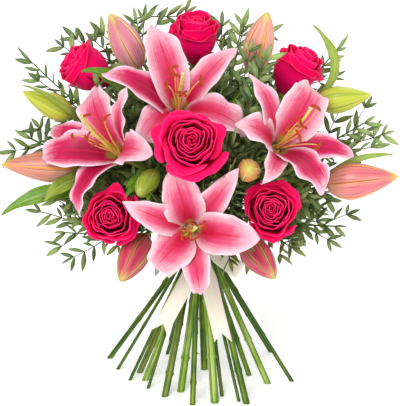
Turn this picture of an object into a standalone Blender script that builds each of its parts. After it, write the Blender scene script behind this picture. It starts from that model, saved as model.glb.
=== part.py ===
"""Hand-tied bouquet of lilies, roses and leafy sprays, standing on its cut stem ends.

Metres, +Z up. The stems are bound at one point and splay below it, so the cut ends make a ring of feet
that the bouquet stands on. The front of the bouquet faces -Y. Positions in the layout are millimetres.
"""

import math

import bmesh
import bpy
from mathutils import Matrix, Vector
from mathutils.bvhtree import BVHTree

MM = 0.001
GAP = 0.35 * MM  # clearance between pieces that touch

# Binding: the stems run upright through it and splay above and below
TIE_HEIGHT = 155 * MM
TIE_SOFTNESS = 17 * MM  # half the height over which the stems bend at the binding
STEM_RISE = 16 * MM  # the stems stay bundled this far above the binding
STEM_OVERRUN = 6 * MM  # stems are made this much too long, then cut level at the floor
LOW_HEIGHTS = (50 * MM, 96 * MM, 124 * MM, 142 * MM, TIE_HEIGHT)  # points of a stem up to the binding
BOUND = len(LOW_HEIGHTS) + 1  # number of the stem's first point above the binding
UPPER_POINTS = 7
VIA_POINTS = 4  # points of each half of a stem that passes a given place
BUNDLE_SHARE = 0.22  # the stems are drawn together from this much of their ring of feet
PACKING_STEPS = 1000
SETTLING_STEPS = 150  # the last steps only push the stems apart
PACKING_PULL = 0.996
PACKING_PUSH = 0.45
RING_STEPS = 28  # corners of the wrap, and of one turn of twine
TWINE_RADIUS = 1.0 * MM
TWINE_TURNS = 2
TWINE_PITCH = 2.7 * MM
TWINE_SEAT = 0.5 * MM  # gap from the stems, which already lean out a little under the outer turns

# Ribbon and its bow: a knot at the front of the wrap, a loop to each side and two tails
RIBBON_WIDTH = 19 * MM
RIBBON_THICKNESS = 0.8 * MM
KNOT_HALF = (8 * MM, 5 * MM, 8 * MM)
KNOT_DROP = 2 * MM  # from the middle of the wrap to the middle of the knot
LOOP_ENDS = {"left": (-40, -46, 131), "right": (44, -46, 131)}
LOOP_SHAPE = [(0, 1.2), (0.3, 5), (0.65, 7), (0.92, 5), (1, 0), (0.92, -4.5), (0.65, -5.5), (0.3, -4),
              (0.04, -1.2)]  # share of the way out, and height of the ribbon over the loop's middle
LOOP_WIDTHS = [0.45, 0.8, 1, 1, 1, 1, 1, 0.8, 0.45]
TAILS = {  # tip and half width of each tail
    "left": ((-44, -76, 72), (8.4, -1.0, -3.0)),
    "right": ((25, -88, 66), (9.5, -0.1, 0.0)),
}
TAIL_WIDTHS = [0.5, 0.85, 1, 1, 1, 1, 1]

# Lily tepals
THROAT_ANGLE = math.radians(18)
TEPAL_THICKNESS = 1.4 * MM
TEPAL_CUP = 0.10
RECEPTACLE_RADIUS = 5.5 * MM
RECEPTACLE_LENGTH = 7 * MM
THROAT_FLOOR = 6 * MM
THROAT_RADIUS = {"inner": 6.0 * MM, "outer": 7.2 * MM}
THROAT_HEIGHT = {"inner": 3.0 * MM, "outer": 0.0}
TEPAL_OUTLINE = [0.30, 0.72, 0.98, 0.96, 0.62, 0.07]  # share of the full width, from throat to tip

# Stamens and pistil, from the receptacle up
STAMENS = 6
STAMEN_BASE_RADIUS = 3.2 * MM
STAMEN_BASE_HEIGHT = 5 * MM
STAMEN_HEIGHT = 58 * MM
STAMEN_REACH = 25 * MM
STAMEN_TURN = 20  # degrees from the first tepal
FILAMENT_RADIUS = 0.9 * MM
ANTHER_HALF = (1.7 * MM, 6.5 * MM, 1.5 * MM)
PISTIL_TIP = (4, 10, 76)
PISTIL_RADIUS = 1.5 * MM
STIGMA_HALF = (3.4 * MM, 3.4 * MM, 2.4 * MM)

# Each lily: receptacle, facing (azimuth, elevation) and six tepals (kind, roll, length, width, tip angle)
LILIES = {
    "top": dict(
        at=(-23, -58, 308), facing=(4, 50), foot=(-21, -67), stem=7.0,
        tepals=[("inner", 108, 100, 44, 95), ("inner", -28, 92, 42, 146), ("inner", -138, 62, 40, 175),
                ("outer", 163, 97, 36, 98), ("outer", 40, 97, 31, 98), ("outer", -80, 46, 28, 170)],
    ),
    "left": dict(
        at=(-79, -80, 269), facing=(-50, 36), foot=(-61, -36), stem=6.0,
        tepals=[("inner", 134, 89, 48, 112), ("inner", -150, 90, 45, 98), ("inner", 8, 70, 38, 130),
                ("outer", 78, 78, 27, 74), ("outer", -176, 96, 31, 104), ("outer", -98, 90, 30, 150)],
    ),
    "right": dict(
        at=(77, -80, 277), facing=(33, 37), foot=(75, -45), stem=6.0,
        tepals=[("inner", 44, 93, 52, 132), ("inner", -84, 83, 42, 96), ("inner", 156, 68, 38, 110),
                ("outer", 106, 88, 30, 108), ("outer", -24, 90, 28, 118), ("outer", -138, 74, 26, 104)],
    ),
    "front": dict(
        at=(-9, -113, 203), facing=(0, 12), foot=(16, -96), stem=7.6,
        tepals=[("inner", 106, 77, 45, 106), ("inner", -5, 84, 46, 90), ("inner", -134, 64, 45, 136),
                ("outer", 157, 88, 31, 98), ("outer", 53, 91, 30, 108), ("outer", -82, 82, 30, 148)],
    ),
}

# Lily buds: the lily stem that carries each, its base, its tip and its greatest radius
BUDS = {
    "pink_bud_top_left": ("top", (-64, -28, 353), (-93, -50, 415), 16.5),
    "pink_bud_top_right": ("top", (55, -8, 342), (71, -26, 412), 16.0),
    "pink_bud_left": ("left", (-131, -42, 247), (-211, -50, 253), 17.0),
    "pink_bud_right": ("right", (133, -58, 234), (209, -68, 245), 19.5),
    "pink_bud_low_left": ("front", (-58, -68, 180), (-82, -133, 151), 16.0),
    "pink_bud_low_right": ("front", (46, -66, 178), (78, -124, 151), 15.5),
    "green_bud_left": ("left", (-135, -36, 303), (-185, -58, 334), 13.5),
    "green_bud_right": ("right", (124, -26, 315), (181, -38, 326), 14.5),
    "small_bud_left": ("left", (-46, -90, 257), (-62, -130, 243), 11.5),
    "small_bud_right": ("right", (50, -96, 257), (49, -142, 275), 12.0),
}
PEDICEL_DIAMETER = 4.2 * MM
PEDICEL_START = 0.45  # how far up its lily stem, from the binding to the flower, a pedicel leaves

# Each rose: centre of the bloom, facing, radius, height, place of its foot and stem diameter
ROSES = {
    "centre": dict(at=(-9, -142, 300), facing=(0, 28), radius=35, height=52, foot=(-8, -102), stem=5.2),
    "left": dict(at=(-92, -103, 211), facing=(-5, 22), radius=31, height=50, foot=(-38, -80), stem=6.6),
    "right": dict(at=(74, -108, 219), facing=(-3, 26), radius=31, height=50, foot=(50, -99), stem=6.2),
    "top_left": dict(at=(-120, 4, 343), facing=(-78, 30), radius=26, height=56, foot=(-68, -14), stem=6.0),
    "top": dict(at=(-5, 30, 371), facing=(0, 75), radius=26, height=58, foot=(5, -5), stem=6.6),
    "top_right": dict(at=(102, 10, 340), facing=(65, 56), radius=27, height=58, foot=(55, -22), stem=5.0),
}
HIP_RADIUS = 6.5 * MM
SEPALS = 5
SEPAL_LENGTH = 24 * MM
SEPAL_WIDTH = 7 * MM
SEPAL_THICKNESS = 1.4 * MM

# Leafy sprays: tip of the main twig, a point it passes on the way up, its foot and its stem's diameter
SPRAYS = {
    "spray_left_upper": dict(tip=(-178, -10, 354), via=(-92, -4, 270), foot=(-93, -5), stem=3.6),
    "spray_left": dict(tip=(-196, -14, 280), via=(-104, 14, 224), foot=(-104, 28), stem=5.6),
    "spray_left_lower": dict(tip=(-168, -62, 182), via=(-88, -44, 174), foot=(-57, -59), stem=3.6),
    "spray_front_left": dict(tip=(-136, -58, 214), via=(-62, -18, 210), foot=(-78, -36), stem=3.6),
    "spray_front_centre": dict(tip=(28, -120, 262), via=(18, -70, 216), foot=(24, -80), stem=4.2),
    "spray_front_low": dict(tip=(36, -90, 150), via=(23, -40, 187), foot=(42, -94), stem=3.6),
    "spray_right_lower": dict(tip=(170, -54, 186), via=(88, -34, 182), foot=(102, -39), stem=4.4),
    "spray_right": dict(tip=(190, -12, 298), via=(104, 4, 240), foot=(82, 46), stem=4.0),
    "spray_top_right": dict(tip=(154, 24, 370), via=(80, 38, 276), foot=(40, 28), stem=4.0),
    "spray_top": dict(tip=(48, 50, 394), via=(28, 32, 300), foot=(8, 46), stem=4.0),
    "spray_top_left": dict(tip=(-74, 42, 388), via=(-46, 30, 300), foot=(-38, 40), stem=4.0),
    "spray_back_right": dict(tip=(96, 160, 308), via=(52, 86, 240), foot=(36, 88), stem=4.4),
    "spray_back_left": dict(tip=(-84, 162, 306), via=(-46, 88, 240), foot=(-35, 84), stem=4.4),
}
SPRAY_TWIGS = 4
TWIG_RADIUS = 0.8 * MM
TWIG_LENGTH = 52 * MM
TWIG_SHORTER = 0.10  # share by which each twig is shorter than the one below it
TWIG_STUB = 0.45  # share of its length left of a twig whose end would meet a flower
TWIG_PROBES = 8
LEAFLET_LENGTH = 19 * MM
LEAFLET_WIDTH = 6.5 * MM
LEAFLET_THICKNESS = 1.2 * MM
LEAFLET_CLEARANCE = 0.6 * MM

# Long lily leaves: the bud whose stalk carries each, how far along that stalk, the leaf's tip and its width
LEAVES = {
    "lily_leaf_left_long": ("pink_bud_left", 0.62, (-211, -62, 200), 15),
    "lily_leaf_left_short": ("pink_bud_left", 0.84, (-164, -84, 222), 14),
    "lily_leaf_upper_left": ("pink_bud_top_left", 0.74, (-122, -78, 360), 14),
    "lily_leaf_upper_right": ("green_bud_right", 0.97, (123, -20, 388), 13),
    "lily_leaf_low": ("pink_bud_low_left", 0.30, (-47, -92, 146), 14),
}

PINK = (0.86, 0.24, 0.42)
CRIMSON = (0.78, 0.01, 0.10)
BUD_PINK = (0.78, 0.36, 0.36)
BUD_GREEN = (0.55, 0.62, 0.12)
STEM_GREEN = (0.20, 0.36, 0.05)
LEAF_GREEN = (0.11, 0.24, 0.05)
POLLEN = (0.45, 0.12, 0.03)
CREAM = (0.86, 0.80, 0.68)
TWINE_TAN = (0.48, 0.35, 0.20)


def at(place):
    return Vector(place) * MM


def facing(azimuth, elevation):
    """Unit vector: azimuth 0 faces -Y and turns towards +X, and elevation lifts it."""
    a, e = math.radians(azimuth), math.radians(elevation)
    return Vector((math.sin(a) * math.cos(e), -math.cos(a) * math.cos(e), math.sin(e)))


def seat(place, azimuth, elevation):
    """Matrix of a flower head: its +Z is the facing, and its +X is level."""
    z = facing(azimuth, elevation)
    x = Vector((math.cos(math.radians(azimuth)), math.sin(math.radians(azimuth)), 0))
    turned = Matrix((x, z.cross(x), z)).transposed().to_4x4()
    return Matrix.Translation(at(place)) @ turned


def aimed(base, direction):
    """Matrix that carries +Z to the direction, at the base."""
    return Matrix.Translation(base) @ direction.to_track_quat("Z", "Y").to_matrix().to_4x4()


def clear_scene():
    for obj in list(bpy.data.objects):
        bpy.data.objects.remove(obj, do_unlink=True)


def material(name, colour, roughness):
    made = bpy.data.materials.new(name)
    made.use_nodes = True
    shader = made.node_tree.nodes["Principled BSDF"]
    shader.inputs["Base Color"].default_value = (*colour, 1.0)
    shader.inputs["Roughness"].default_value = roughness
    shader.inputs["Metallic"].default_value = 0.0
    return made


def add_object(name, data, finish, matrix=None):
    """Links an object to the bouquet's collection, under its empty."""
    obj = bpy.data.objects.new(name, data)
    bouquet.objects.link(obj)
    obj.parent = root
    obj.matrix_world = matrix or Matrix.Identity(4)
    obj.data.materials.clear()
    obj.data.materials.append(finish)
    if obj.type == "MESH":
        obj.data.shade_smooth()
    return obj


def evaluated_mesh(obj):
    """The object's mesh with its modifiers applied, in world space, its seams welded."""
    bpy.context.view_layer.update()
    graph = bpy.context.evaluated_depsgraph_get()
    mesh = bpy.data.meshes.new_from_object(obj.evaluated_get(graph), depsgraph=graph)
    mesh.transform(obj.matrix_world)
    work = bmesh.new()
    work.from_mesh(mesh)
    bmesh.ops.remove_doubles(work, verts=work.verts, dist=0.002 * MM)
    work.to_mesh(mesh)
    work.free()
    return mesh


def applied(obj):
    """The evaluated mesh of a helper object, which is then removed."""
    mesh = evaluated_mesh(obj)
    bpy.data.objects.remove(obj, do_unlink=True)
    return mesh


def helper(name, data):
    obj = bpy.data.objects.new(name, data)
    helpers.objects.link(obj)
    obj.hide_render = True
    obj.display_type = "WIRE"
    return obj


def tube(points, radius, resolution=2, radii=None):
    """Closed tube along the points, as a mesh; radii scale it point by point."""
    curve = bpy.data.curves.new("tube", "CURVE")
    curve.dimensions = "3D"
    curve.bevel_depth = radius
    curve.bevel_resolution = resolution
    curve.use_fill_caps = True
    spline = curve.splines.new("POLY")
    spline.points.add(len(points) - 1)
    for number, point in enumerate(points):
        spline.points[number].co = (*point, 1.0)
        spline.points[number].radius = radii[number] if radii else 1.0
    return applied(helper("tube", curve))


def ball(centre, radii, segments=8, rings=5):
    """Closed ellipsoid as a mesh; radii are its half axes."""
    mesh = bpy.data.meshes.new("ball")
    work = bmesh.new()
    bmesh.ops.create_uvsphere(work, u_segments=segments, v_segments=rings, radius=1.0)
    bmesh.ops.transform(work, matrix=Matrix.Diagonal((*radii, 1.0)), verts=work.verts)
    bmesh.ops.translate(work, vec=centre, verts=work.verts)
    work.to_mesh(mesh)
    work.free()
    return mesh


def joined(first, others):
    """Boolean union of one mesh with a list of others."""
    body = helper("body", first)
    for mesh in others:
        extra = helper("extra", mesh)
        union = body.modifiers.new("union", "BOOLEAN")
        union.operation = "UNION"
        union.object = extra
    mesh = applied(body)
    for obj in list(helpers.objects):
        bpy.data.objects.remove(obj, do_unlink=True)
    return without_pockets(mesh)


def without_pockets(mesh):
    """Drops the small sealed pockets that a union leaves where blades lie against each other."""
    work = bmesh.new()
    work.from_mesh(mesh)
    left, islands = set(work.verts), []
    while left:
        island, edge = set(), [next(iter(left))]
        while edge:
            vert = edge.pop()
            if vert in left:
                left.discard(vert)
                island.add(vert)
                edge += [link.other_vert(vert) for link in vert.link_edges]
        islands.append(island)
    islands.sort(key=len)
    bmesh.ops.delete(work, geom=[vert for island in islands[:-1] for vert in island], context="VERTS")
    work.to_mesh(mesh)
    work.free()
    return mesh


def bezier(start, start_tangent, end, end_tangent, count):
    """Points of a cubic curve that leaves along one tangent and arrives along the other."""
    b, c = start + start_tangent / 3, end - end_tangent / 3
    points = []
    for step in range(count):
        t = step / (count - 1)
        s = 1 - t
        points.append(s**3 * start + 3 * s * s * t * b + 3 * s * t * t * c + t**3 * end)
    return points


def packed(places, radii):
    """Where the stems cross the binding: circles drawn to the centre that push each other apart."""
    places = [place.copy() for place in places]
    for step in range(PACKING_STEPS):
        pull = PACKING_PULL if step < PACKING_STEPS - SETTLING_STEPS else 1.0
        for number, place in enumerate(places):
            places[number] = place * pull
        for one in range(len(places)):
            for two in range(one):
                apart = places[one] - places[two]
                short = radii[one] + radii[two] + GAP - apart.length
                if short > 0:
                    push = apart.normalized() * short * PACKING_PUSH
                    places[one] += push
                    places[two] -= push
    return places


def splay(height):
    """0 at the binding and 1 at the floor: how far a stem has moved out to its foot."""
    soft = TIE_SOFTNESS
    reach = math.hypot(TIE_HEIGHT, soft) - soft
    return (math.hypot(TIE_HEIGHT - height, soft) - soft) / reach


def stem_line(tie, foot, head, head_direction, via=None):
    """Stem from its cut end on the floor, through the binding, to its head."""
    low = []
    for height in (-STEM_OVERRUN, *LOW_HEIGHTS):
        spot = tie + (foot - tie) * splay(height)
        low.append(Vector((spot.x, spot.y, height)))
    bundled = Vector((tie.x, tie.y, TIE_HEIGHT + STEM_RISE))
    up = Vector((0, 0, 1))
    if not via:
        span = (head - bundled).length
        return low + bezier(bundled, up * span, head, head_direction * span * 0.55, UPPER_POINTS)
    middle = at(via)
    heading = (head - bundled).normalized()
    below, above = (middle - bundled).length, (head - middle).length
    first = bezier(bundled, up * below * 0.8, middle, heading * below, VIA_POINTS)
    return low + first[:-1] + bezier(middle, heading * above, head, head_direction * above, VIA_POINTS)


def foot_cut(mesh):
    """Cuts a stem level at the floor, as its cut end stands."""
    work = bmesh.new()
    work.from_mesh(mesh)
    geometry = work.verts[:] + work.edges[:] + work.faces[:]
    floor, up = (0, 0, 0), (0, 0, 1)
    cut = bmesh.ops.bisect_plane(work, geom=geometry, plane_co=floor, plane_no=up, clear_inner=True)
    edges = [item for item in cut["geom_cut"] if isinstance(item, bmesh.types.BMEdge)]
    bmesh.ops.contextual_create(work, geom=edges)
    bmesh.ops.recalc_face_normals(work, faces=work.faces)
    work.to_mesh(mesh)
    work.free()
    return mesh


def tepal(kind, roll, length, width, tip_angle):
    """One tepal as a solid blade: it leaves the throat, widens, and bends out and back to its tip."""
    rows, columns = len(TEPAL_OUTLINE), 3
    mesh = bpy.data.meshes.new("tepal")
    work = bmesh.new()
    bmesh.ops.create_grid(work, x_segments=columns - 1, y_segments=rows - 1, size=1)
    end = math.radians(tip_angle)
    bend = end - THROAT_ANGLE
    turn = math.radians(roll)
    out = Vector((math.cos(turn), math.sin(turn), 0))
    side = Vector((-math.sin(turn), math.cos(turn), 0))
    up = Vector((0, 0, 1))
    for vert in work.verts:
        along, across = (vert.co.y + 1) / 2, vert.co.x
        row = round(along * (rows - 1))
        angle = THROAT_ANGLE + bend * along
        reach = THROAT_RADIUS[kind] + length * MM * (math.cos(THROAT_ANGLE) - math.cos(angle)) / bend
        height = THROAT_HEIGHT[kind] + length * MM * (math.sin(angle) - math.sin(THROAT_ANGLE)) / bend
        full = width * MM * TEPAL_OUTLINE[row]
        inward = up * math.sin(angle) - out * math.cos(angle)
        lift = inward * TEPAL_CUP * full * across * across
        vert.co = out * reach + up * height + side * full / 2 * across + lift
    work.to_mesh(mesh)
    work.free()
    blade = helper("tepal", mesh)
    shell = blade.modifiers.new("thickness", "SOLIDIFY")
    shell.thickness = TEPAL_THICKNESS
    shell.offset = 0
    return applied(blade)


def lily_bloom(name, lily):
    """Six tepals grown together on a short receptacle."""
    foot, head = Vector((0, 0, -RECEPTACLE_LENGTH)), Vector((0, 0, THROAT_FLOOR))
    body = tube([foot, head], RECEPTACLE_RADIUS, 2)
    shape = joined(body, [tepal(*values) for values in lily["tepals"]])
    return add_object(name, shape, finishes["lily"], seat(lily["at"], *lily["facing"]))


def lily_stamens(name, lily):
    """Six stamens and the pistil, on one base in the throat."""
    floor = Vector((0, 0, THROAT_FLOOR + GAP))
    up = Vector((0, 0, 1))
    base = tube([floor, floor + up * STAMEN_BASE_HEIGHT], STAMEN_BASE_RADIUS, 2)
    parts = []
    for number in range(STAMENS):
        turn = math.radians(360 / STAMENS * number + STAMEN_TURN)
        out = Vector((math.cos(turn), math.sin(turn), 0))
        start = floor + up * STAMEN_BASE_HEIGHT * 0.4 + out * STAMEN_BASE_RADIUS / 2
        end = up * STAMEN_HEIGHT + out * STAMEN_REACH
        path = bezier(start, up * STAMEN_HEIGHT * 1.2, end, out * STAMEN_REACH * 2, 4)
        parts.append(tube(path, FILAMENT_RADIUS, 0))
        anther = ball(Vector((0, 0, 0)), ANTHER_HALF, 5, 4)
        anther.transform(Matrix.Translation(end) @ Matrix.Rotation(turn, 4, "Z"))
        parts.append(anther)
    tip = at(PISTIL_TIP)
    style = bezier(floor + up * STAMEN_BASE_HEIGHT * 0.6, up * tip.z, tip, at((10, 24, 50)), 5)
    parts.append(tube(style, PISTIL_RADIUS, 1))
    parts.append(ball(tip, STIGMA_HALF, 6, 3))
    return add_object(name, joined(base, parts), finishes["pollen"], seat(lily["at"], *lily["facing"]))


def turned(name, profile, steps, finish, matrix):
    """A turned solid: its profile runs down the outer side, from the top of the axis to the bottom."""
    mesh = bpy.data.meshes.new(name)
    edges = [(number, number + 1) for number in range(len(profile) - 1)]
    mesh.from_pydata([(radius, 0, height) for radius, height in profile], edges, [])
    obj = add_object(name, mesh, finish, matrix)
    screw = obj.modifiers.new("turn", "SCREW")
    screw.steps = screw.render_steps = steps
    screw.use_merge_vertices = True
    screw.merge_threshold = 0.01 * MM
    screw.use_smooth_shade = True
    return obj


def bud(name, base, tip, radius, finish):
    """Lily bud: fullest past its middle, blunt at the base and pointed at the tip."""
    length = (tip - base).length
    shape = [(0, 1.0), (0.20, 0.96), (0.60, 0.84), (0.95, 0.62), (1.0, 0.44), (0.80, 0.20),
             (0.36, 0.03), (0, 0)]
    profile = [(radius * wide, length * high) for wide, high in shape]
    return turned(name, profile, 10, finish, aimed(base, (tip - base).normalized()))


def rose_bloom(name, rose):
    """Rose bloom: a full cup, rounded in at the top and narrowing to its base."""
    radius, height = rose["radius"] * MM, rose["height"] * MM
    shape = [(0, 0.40), (0.45, 0.47), (0.78, 0.42), (0.98, 0.22), (1.0, 0.04), (0.88, -0.22), (0.55, -0.44),
             (0.17, -0.50), (0, -0.50)]
    profile = [(radius * wide, height * high) for wide, high in shape]
    return turned(name, profile, 14, finishes["rose"], seat(rose["at"], *rose["facing"]))


def leaflet(base, direction, normal, length, width, thickness):
    """A small pointed blade, pinched to a point at both ends."""
    mesh = ball(Vector((0, 0, 0)), (width / 2, thickness / 2, length / 2), 4, 2)
    z = direction.normalized()
    x = normal.cross(z).normalized()
    turned_to = Matrix((x, z.cross(x), z)).transposed().to_4x4()
    mesh.transform(Matrix.Translation(base + z * length / 2) @ turned_to)
    return mesh


def rose_stem(name, rose, tie):
    """Rose stem with the hip and five sepals under its bloom."""
    aim = facing(*rose["facing"])
    bottom = at(rose["at"]) - aim * (rose["height"] * MM / 2 + GAP)
    hip_centre = bottom - aim * HIP_RADIUS
    line = stem_line(tie, at((*rose["foot"], 0)), hip_centre, aim)
    shape = foot_cut(tube(line, rose["stem"] * MM / 2))
    hip = ball(Vector((0, 0, 0)), (HIP_RADIUS, HIP_RADIUS, HIP_RADIUS), 8, 4)
    hip.transform(aimed(hip_centre, aim))
    sepals = []
    level = aim.orthogonal().normalized()
    for number in range(SEPALS):
        out = Matrix.Rotation(math.radians(360 / SEPALS * number), 3, aim) @ level
        start = bottom - aim * HIP_RADIUS * 1.15 + out * HIP_RADIUS * 0.6
        heading = out * 0.75 - aim * 0.66
        sepals.append(leaflet(start, heading, aim, SEPAL_LENGTH, SEPAL_WIDTH, SEPAL_THICKNESS))
    return add_object(name, joined(shape, [hip] + sepals), finishes["stem"])


def pedicel_line(line, start, base, direction):
    """Side stalk from a point of the lily stem's line to the base of a bud."""
    heading = (line[-1] - line[-4]).normalized()
    span = (base - start).length
    return bezier(start, heading * span * 0.8, base, direction * span * 0.8, 6)


def lily_stem(name, key, tie):
    """Lily stem with the stalks of its buds."""
    lily = LILIES[key]
    aim = facing(*lily["facing"])
    top = at(lily["at"]) - aim * (RECEPTACLE_LENGTH + 2 * GAP)
    line = stem_line(tie, at((*lily["foot"], 0)), top, aim)
    radii = [1.0] * (BOUND + 1) + [1.0 - 0.05 * step for step in range(1, UPPER_POINTS)]
    shape = foot_cut(tube(line, lily["stem"] * MM / 2, 2, radii))
    stalks = []
    start = line[BOUND + round(PEDICEL_START * (UPPER_POINTS - 1))]
    for bud_name, (host, base, tip, _) in BUDS.items():
        if host != key:
            continue
        along = (at(tip) - at(base)).normalized()
        stalk = pedicel_line(line, start, at(base) - along * GAP, along)
        stalks.append(tube(stalk, PEDICEL_DIAMETER / 2, 2))
        pedicels[bud_name] = stalk
    return add_object(name, joined(shape, stalks), finishes["stem"])


def point_along(line, share):
    """Point and heading at a share of the line's length."""
    lengths = [(b - a).length for a, b in zip(line, line[1:])]
    left = share * sum(lengths)
    for number, length in enumerate(lengths):
        if left <= length or number == len(lengths) - 1:
            heading = (line[number + 1] - line[number]).normalized()
            return line[number] + heading * left, heading
        left -= length
    return line[-1], (line[-1] - line[-2]).normalized()


def lily_leaf(name, bud_name, share, tip, width):
    """Long blade that stands off its stalk and bends over to its tip."""
    place, heading = point_along(pedicels[bud_name], share)
    reach = at(tip) - place
    off = (reach - heading * reach.dot(heading)).normalized()
    base = place + off * (PEDICEL_DIAMETER / 2 + GAP + 0.7 * MM)
    reach = at(tip) - base
    line = bezier(base, off * reach.length * 0.7 + heading * reach.length * 0.4, at(tip),
                  reach + Vector((0, 0, -0.5)) * reach.length, 7)
    outline = [0.14, 0.60, 0.92, 1.0, 0.86, 0.52, 0.06]
    mesh = bpy.data.meshes.new("leaf")
    work = bmesh.new()
    bmesh.ops.create_grid(work, x_segments=2, y_segments=len(line) - 1, size=1)
    for vert in work.verts:
        row = round((vert.co.y + 1) / 2 * (len(line) - 1))
        near, far = line[max(row - 1, 0)], line[min(row + 1, len(line) - 1)]
        along = (far - near).normalized()
        side = along.cross(Vector((0, -0.55, 0.84))).normalized()
        across = vert.co.x
        fold = side.cross(along) * abs(across) * 0.16 * width * MM * outline[row]
        vert.co = line[row] + side * across * width * MM / 2 * outline[row] + fold
    work.to_mesh(mesh)
    work.free()
    blade = helper("leaf", mesh)
    shell = blade.modifiers.new("thickness", "SOLIDIFY")
    shell.thickness = 1.0 * MM
    shell.offset = 0
    return add_object(name, applied(blade), finishes["leaf"])


def tree_of(mesh):
    return BVHTree.FromPolygons([v.co.copy() for v in mesh.vertices], [p.vertices[:] for p in mesh.polygons])


def is_inside(point, tree):
    """Whether a ray from the point leaves the solid an odd number of times."""
    direction, crossings = Vector((0.31, 0.52, 0.796)).normalized(), 0
    while crossings < 50:
        hit = tree.ray_cast(point, direction)[0]
        if hit is None:
            break
        crossings += 1
        point = hit + direction * 0.001 * MM
    return crossings % 2 == 1


def is_clear(points, trees, clearance):
    """Whether every point lies outside every solid, by at least the clearance."""
    for tree in trees:
        if any(tree.find_nearest(point)[3] < clearance for point in points):
            return False
        if is_inside(points[0], tree):
            return False
    return True


def sampled(mesh):
    """Corners, middles of the edges and middles of the faces of a mesh."""
    corners = [v.co.copy() for v in mesh.vertices]
    middles = [(mesh.vertices[a].co + mesh.vertices[b].co) / 2 for a, b in (e.vertices for e in mesh.edges)]
    return corners + middles + [p.center.copy() for p in mesh.polygons]


def spray(name, plan, tie, trees):
    """Leafy spray: a stem with side twigs and leaflets, left out where they would meet a flower."""
    tip = at(plan["tip"])
    away = (tip - Vector((0, 0, TIE_HEIGHT))).normalized()
    line = stem_line(tie, at((*plan["foot"], 0)), tip, away, plan["via"])
    tapering = len(line) - BOUND - 1
    radii = [1.0] * (BOUND + 1) + [1.0 - 0.55 * (step + 1) / tapering for step in range(tapering)]
    shape = foot_cut(tube(line, plan["stem"] * MM / 2, 1, radii))
    upper = line[-VIA_POINTS:]
    flat = away.cross(Vector((0, 0, 1))).cross(away).normalized()
    parts = []

    def try_leaflet(base, direction, normal):
        blade = leaflet(base, direction, normal, LEAFLET_LENGTH, LEAFLET_WIDTH, LEAFLET_THICKNESS)
        if is_clear(sampled(blade), trees, LEAFLET_CLEARANCE):
            parts.append(blade)

    for number in range(SPRAY_TWIGS):
        place, heading = point_along(upper, 0.10 + 0.80 * number / SPRAY_TWIGS)
        hand = 1 if number % 2 else -1
        out = (heading * 0.62 + flat.cross(heading) * hand * 0.78).normalized()
        for length in (TWIG_LENGTH * (1 - TWIG_SHORTER * number), TWIG_LENGTH * TWIG_STUB):
            first = plan["stem"] * MM
            probes = [first + (length - first) * step / TWIG_PROBES for step in range(TWIG_PROBES + 1)]
            if is_clear([place + out * probe for probe in probes], trees, TWIG_RADIUS + LEAFLET_CLEARANCE):
                break
        else:
            continue
        parts.append(tube([place, place + out * length], TWIG_RADIUS, 0))
        aside = flat.cross(out).normalized()
        for side in (1, -1):
            try_leaflet(place + out * length * 0.55, out * 0.75 + aside * side * 0.66, flat)
        try_leaflet(place + out * (length - 1 * MM), out, flat)
    try_leaflet(tip - away * 1 * MM, away, flat)
    return add_object(name, joined(shape, parts), finishes["spray"])


def bundle_radius(angle):
    """Reach of the bound stems in one direction."""
    out = Vector((math.cos(angle), math.sin(angle), 0))
    return max(tie.dot(out) + radius for tie, radius in zip(ties, tie_radii))


def around(angle, offset, height):
    reach = bundle_radius(angle) + offset
    return Vector((math.cos(angle) * reach, math.sin(angle) * reach, height))


def binding_twine():
    points = []
    for number in range(RING_STEPS * TWINE_TURNS + 1):
        turn = number / RING_STEPS
        height = TIE_HEIGHT + (turn - TWINE_TURNS / 2) * TWINE_PITCH
        points.append(around(2 * math.pi * turn, TWINE_SEAT + TWINE_RADIUS, height))
    return add_object("binding_twine", tube(points, TWINE_RADIUS, 0), finishes["twine"])


def strip(name, centres, widths):
    """Ribbon laid along its centre line: widths are the half-width vectors at each point."""
    mesh = bpy.data.meshes.new(name)
    work = bmesh.new()
    bmesh.ops.create_grid(work, x_segments=1, y_segments=len(centres) - 1, size=1)
    for vert in work.verts:
        row = round((vert.co.y + 1) / 2 * (len(centres) - 1))
        vert.co = centres[row] + widths[row] * vert.co.x
    work.to_mesh(mesh)
    work.free()
    obj = add_object(name, mesh, finishes["ribbon"])
    shell = obj.modifiers.new("thickness", "SOLIDIFY")
    shell.thickness = RIBBON_THICKNESS
    shell.offset = 0
    return obj


def ribbon_wrap(offset):
    """Band of ribbon round the binding, closed on itself: a ring with a rectangular section."""
    mesh = bpy.data.meshes.new("ribbon_wrap")
    work = bmesh.new()
    bmesh.ops.create_circle(work, segments=RING_STEPS, radius=1)
    low = work.verts[:]
    for vert in low:
        angle = math.atan2(vert.co.y, vert.co.x)
        vert.co = around(angle, offset, TIE_HEIGHT - RIBBON_WIDTH / 2)
    raised = bmesh.ops.extrude_edge_only(work, edges=work.edges[:])["geom"]
    top = [item for item in raised if isinstance(item, bmesh.types.BMVert)]
    bmesh.ops.translate(work, vec=(0, 0, RIBBON_WIDTH), verts=top)
    bmesh.ops.recalc_face_normals(work, faces=work.faces)
    work.to_mesh(mesh)
    work.free()
    obj = add_object("ribbon_wrap", mesh, finishes["ribbon"])
    shell = obj.modifiers.new("thickness", "SOLIDIFY")
    shell.thickness = RIBBON_THICKNESS
    shell.offset = 1
    return obj


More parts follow.
